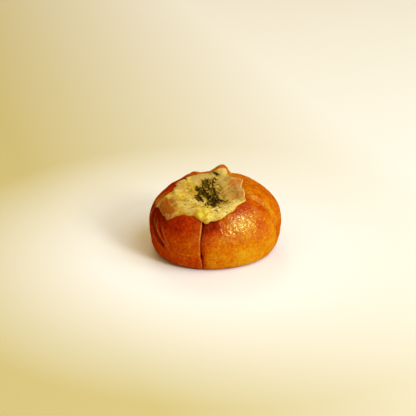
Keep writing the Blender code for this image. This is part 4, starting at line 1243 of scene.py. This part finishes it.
def cheese_finish():
    """Melted cheese: yellow and cream in blotches, toasted in spots, with crust showing through its films,
    and painted sheen and highlights in some spots.
    """
    finish = Finish("melted_cheese")
    clouds = finish.noise(0.0050, 3.0, 0.6)
    curds = finish.noise(0.0024, 2.0, 0.6, lead=0.4)
    sharp = finish.band(curds, 0.38, 0.62)
    colour = finish.mix(finish.band(clouds, 0.42, 0.58), YELLOW, CREAM)
    for name, tint, _ in TINTS:
        share = finish.attribute(name)
        if name in CURDLED:
            share = share * (0.70 + 0.30 * sharp)
        colour = finish.mix(share.clamped(), colour, tint)
    thick = (1.0 - finish.attribute("film")) * (1.0 - finish.attribute("sheet")).clamped()
    thick = (thick * (1.0 - finish.attribute("glassy"))).clamped()
    colour = finish.layered(
        colour,
        (0.60 * thick * finish.band(curds, 0.44, 0.32), GOLDEN),
        (0.45 * thick * finish.band(curds, 0.56, 0.70), MILK),
        (0.45 * thick * finish.attribute("shred"), MILK),
        (0.30 * finish.attribute("rim"), GOLDEN),
        (finish.attribute("browned"), BROWNED),
        (0.70 * finish.attribute("milky_rim"), MILK),
    )
    soft = finish.bump(finish.noise(0.0026, 3.0, 0.6, lead=0.2), 0.0006, 0.7)
    fine = finish.bump(curds, 0.00035, 0.8, soft)
    finish.surface(
        base_color=colour,
        roughness=0.12 + 0.24 * clouds,
        specular_ior_level=0.28,
        specular_tint=(1.0, 0.86, 0.46),
        subsurface_weight=0.14,
        subsurface_radius=(0.0022, 0.0014, 0.0005),
        subsurface_scale=1.0,
        normal=fine,
    )
    finish.dull(0.45, 0.85, 0.90)
    return finish.material


DARK_LEAF, LEAF = (0.016, 0.009, 0.0008), (0.060, 0.034, 0.002)
OLIVE, STRAW = (0.17, 0.102, 0.005), (0.46, 0.29, 0.016)


def herb_finish():
    """Dried leaf: nearly black, olive or straw by the slip, with a dry wrinkled surface."""
    finish = Finish("dried_herb")
    grain = finish.noise(0.0006, 2.0, 0.6)
    shade = finish.attribute("shade") + 0.25 * (grain - 0.5)
    stops = ((0.0, DARK_LEAF), (0.35, LEAF), (0.70, OLIVE), (1.0, STRAW))
    wrinkles = finish.bump(grain, 0.00012, 0.6)
    return finish.surface(
        base_color=finish.ramp(shade.clamped(), stops),
        roughness=0.50 + 0.2 * grain,
        specular_ior_level=0.06,
        normal=wrinkles,
    )


FLOOR_LIGHT, FLOOR_DEEP = (0.96, 0.985, 0.980), (0.56, 0.460, 0.060)


def floor_finish():
    """Pale floor that turns to cream away from the bun, with painted shade that deepens it most to the front
    and left.
    """
    finish = Finish("pale_floor")
    length = finish.node("ShaderNodeVectorMath", {"operation": "LENGTH"}, {0: finish.place}, "Value")
    grain = finish.noise(0.0030, 2.0, 0.5)
    # Painted shade: the floor is deeper towards the front and left.
    towards = {0: finish.place, 1: (-2.2, -0.75, 0.0)}
    lean = finish.node("ShaderNodeVectorMath", {"operation": "DOT_PRODUCT"}, towards, "Value")
    lean = (0.53 + lean).clamped()
    share = finish.band(length, 0.10, 0.24) * lean.math("MINIMUM", lean, 0.80)
    return finish.surface(base_color=finish.mix(share, FLOOR_LIGHT, FLOOR_DEEP), roughness=0.62 + 0.1 * grain)


# ---------------------------------------------------------------- stage


FLOOR_RADIUS, FLOOR_DROP = 3.0, 0.0002
# The lamps: the name, the direction from the bun, the distance, the size, the power and the colour.
LAMPS = (
    ("key", (0.595, -0.36, 0.72), 2.6, 2.3, 44.0, (0.92, 1.00, 1.16)),
    ("glint", (0.62, -0.63, 0.46), 2.6, 0.64, 34.0, (0.98, 1.0, 0.94)),
    ("front_fill", (-0.55, -0.75, 0.36), 2.2, 1.2, 2.5, (1.0, 0.86, 0.62)),
    ("overhead", (-0.20, 0.05, 0.98), 2.6, 3.0, 15.0, (1.0, 0.75, 0.32)),
    ("back", (-0.12, 0.72, 0.68), 2.6, 1.0, 9.0, (1.0, 0.88, 0.66)),
)
LAMP_AIM = (0.0, 0.0, 0.03)
ROOM_COLOUR, ROOM_STRENGTH = (1.0, 0.71, 0.25), 0.29


def make_floor():
    form = bmesh.new()
    bmesh.ops.create_circle(form, cap_ends=True, segments=96, radius=FLOOR_RADIUS)
    bmesh.ops.translate(form, verts=form.verts, vec=(0.0, 0.0, -FLOOR_DROP))
    mesh = as_mesh("floor", form)
    mesh.materials.append(floor_finish())
    add_object("floor", mesh)


def make_lights():
    """Square lamps that shine on the bun, and an even warm glow from the room."""
    for name, towards, distance, size, power, colour in LAMPS:
        lamp = bpy.data.lights.new(name, "AREA")
        lamp.size, lamp.energy, lamp.color = size, power, colour
        placed = add_object(name, lamp)
        way = Vector(towards).normalized()
        placed.location = way * distance + Vector(LAMP_AIM)
        placed.rotation_euler = way.to_track_quat("Z", "Y").to_euler()
    world = bpy.data.worlds.new("studio")
    world.use_nodes = True
    room = world.node_tree.nodes["Background"]
    room.inputs["Color"].default_value = (*ROOM_COLOUR, 1.0)
    room.inputs["Strength"].default_value = ROOM_STRENGTH
    bpy.context.scene.world = world


def make_camera():
    camera = bpy.data.cameras.new("camera")
    camera.lens, camera.sensor_width = LENS_MM, SENSOR_MM
    camera.clip_start = 0.01
    placed = add_object("camera", camera)
    level = math.radians(VIEW_ELEVATION)
    forward = Vector((0.0, math.cos(level), -math.sin(level)))
    placed.location = Vector(VIEW_AIM) - forward * VIEW_DISTANCE
    placed.rotation_euler = forward.to_track_quat("-Z", "Y").to_euler()
    bpy.context.scene.camera = placed


def main():
    bpy.context.scene.view_settings.view_transform = "Standard"
    make_camera()
    make_lights()
    make_floor()
    bun = make_bun(crust_finish())
    cheese = make_cheese(cheese_finish())
    herb = herb_finish()
    core = make_heap_core(herb, height_over(cheese))
    make_slips(herb, height_over(bun, cheese, core))


main()
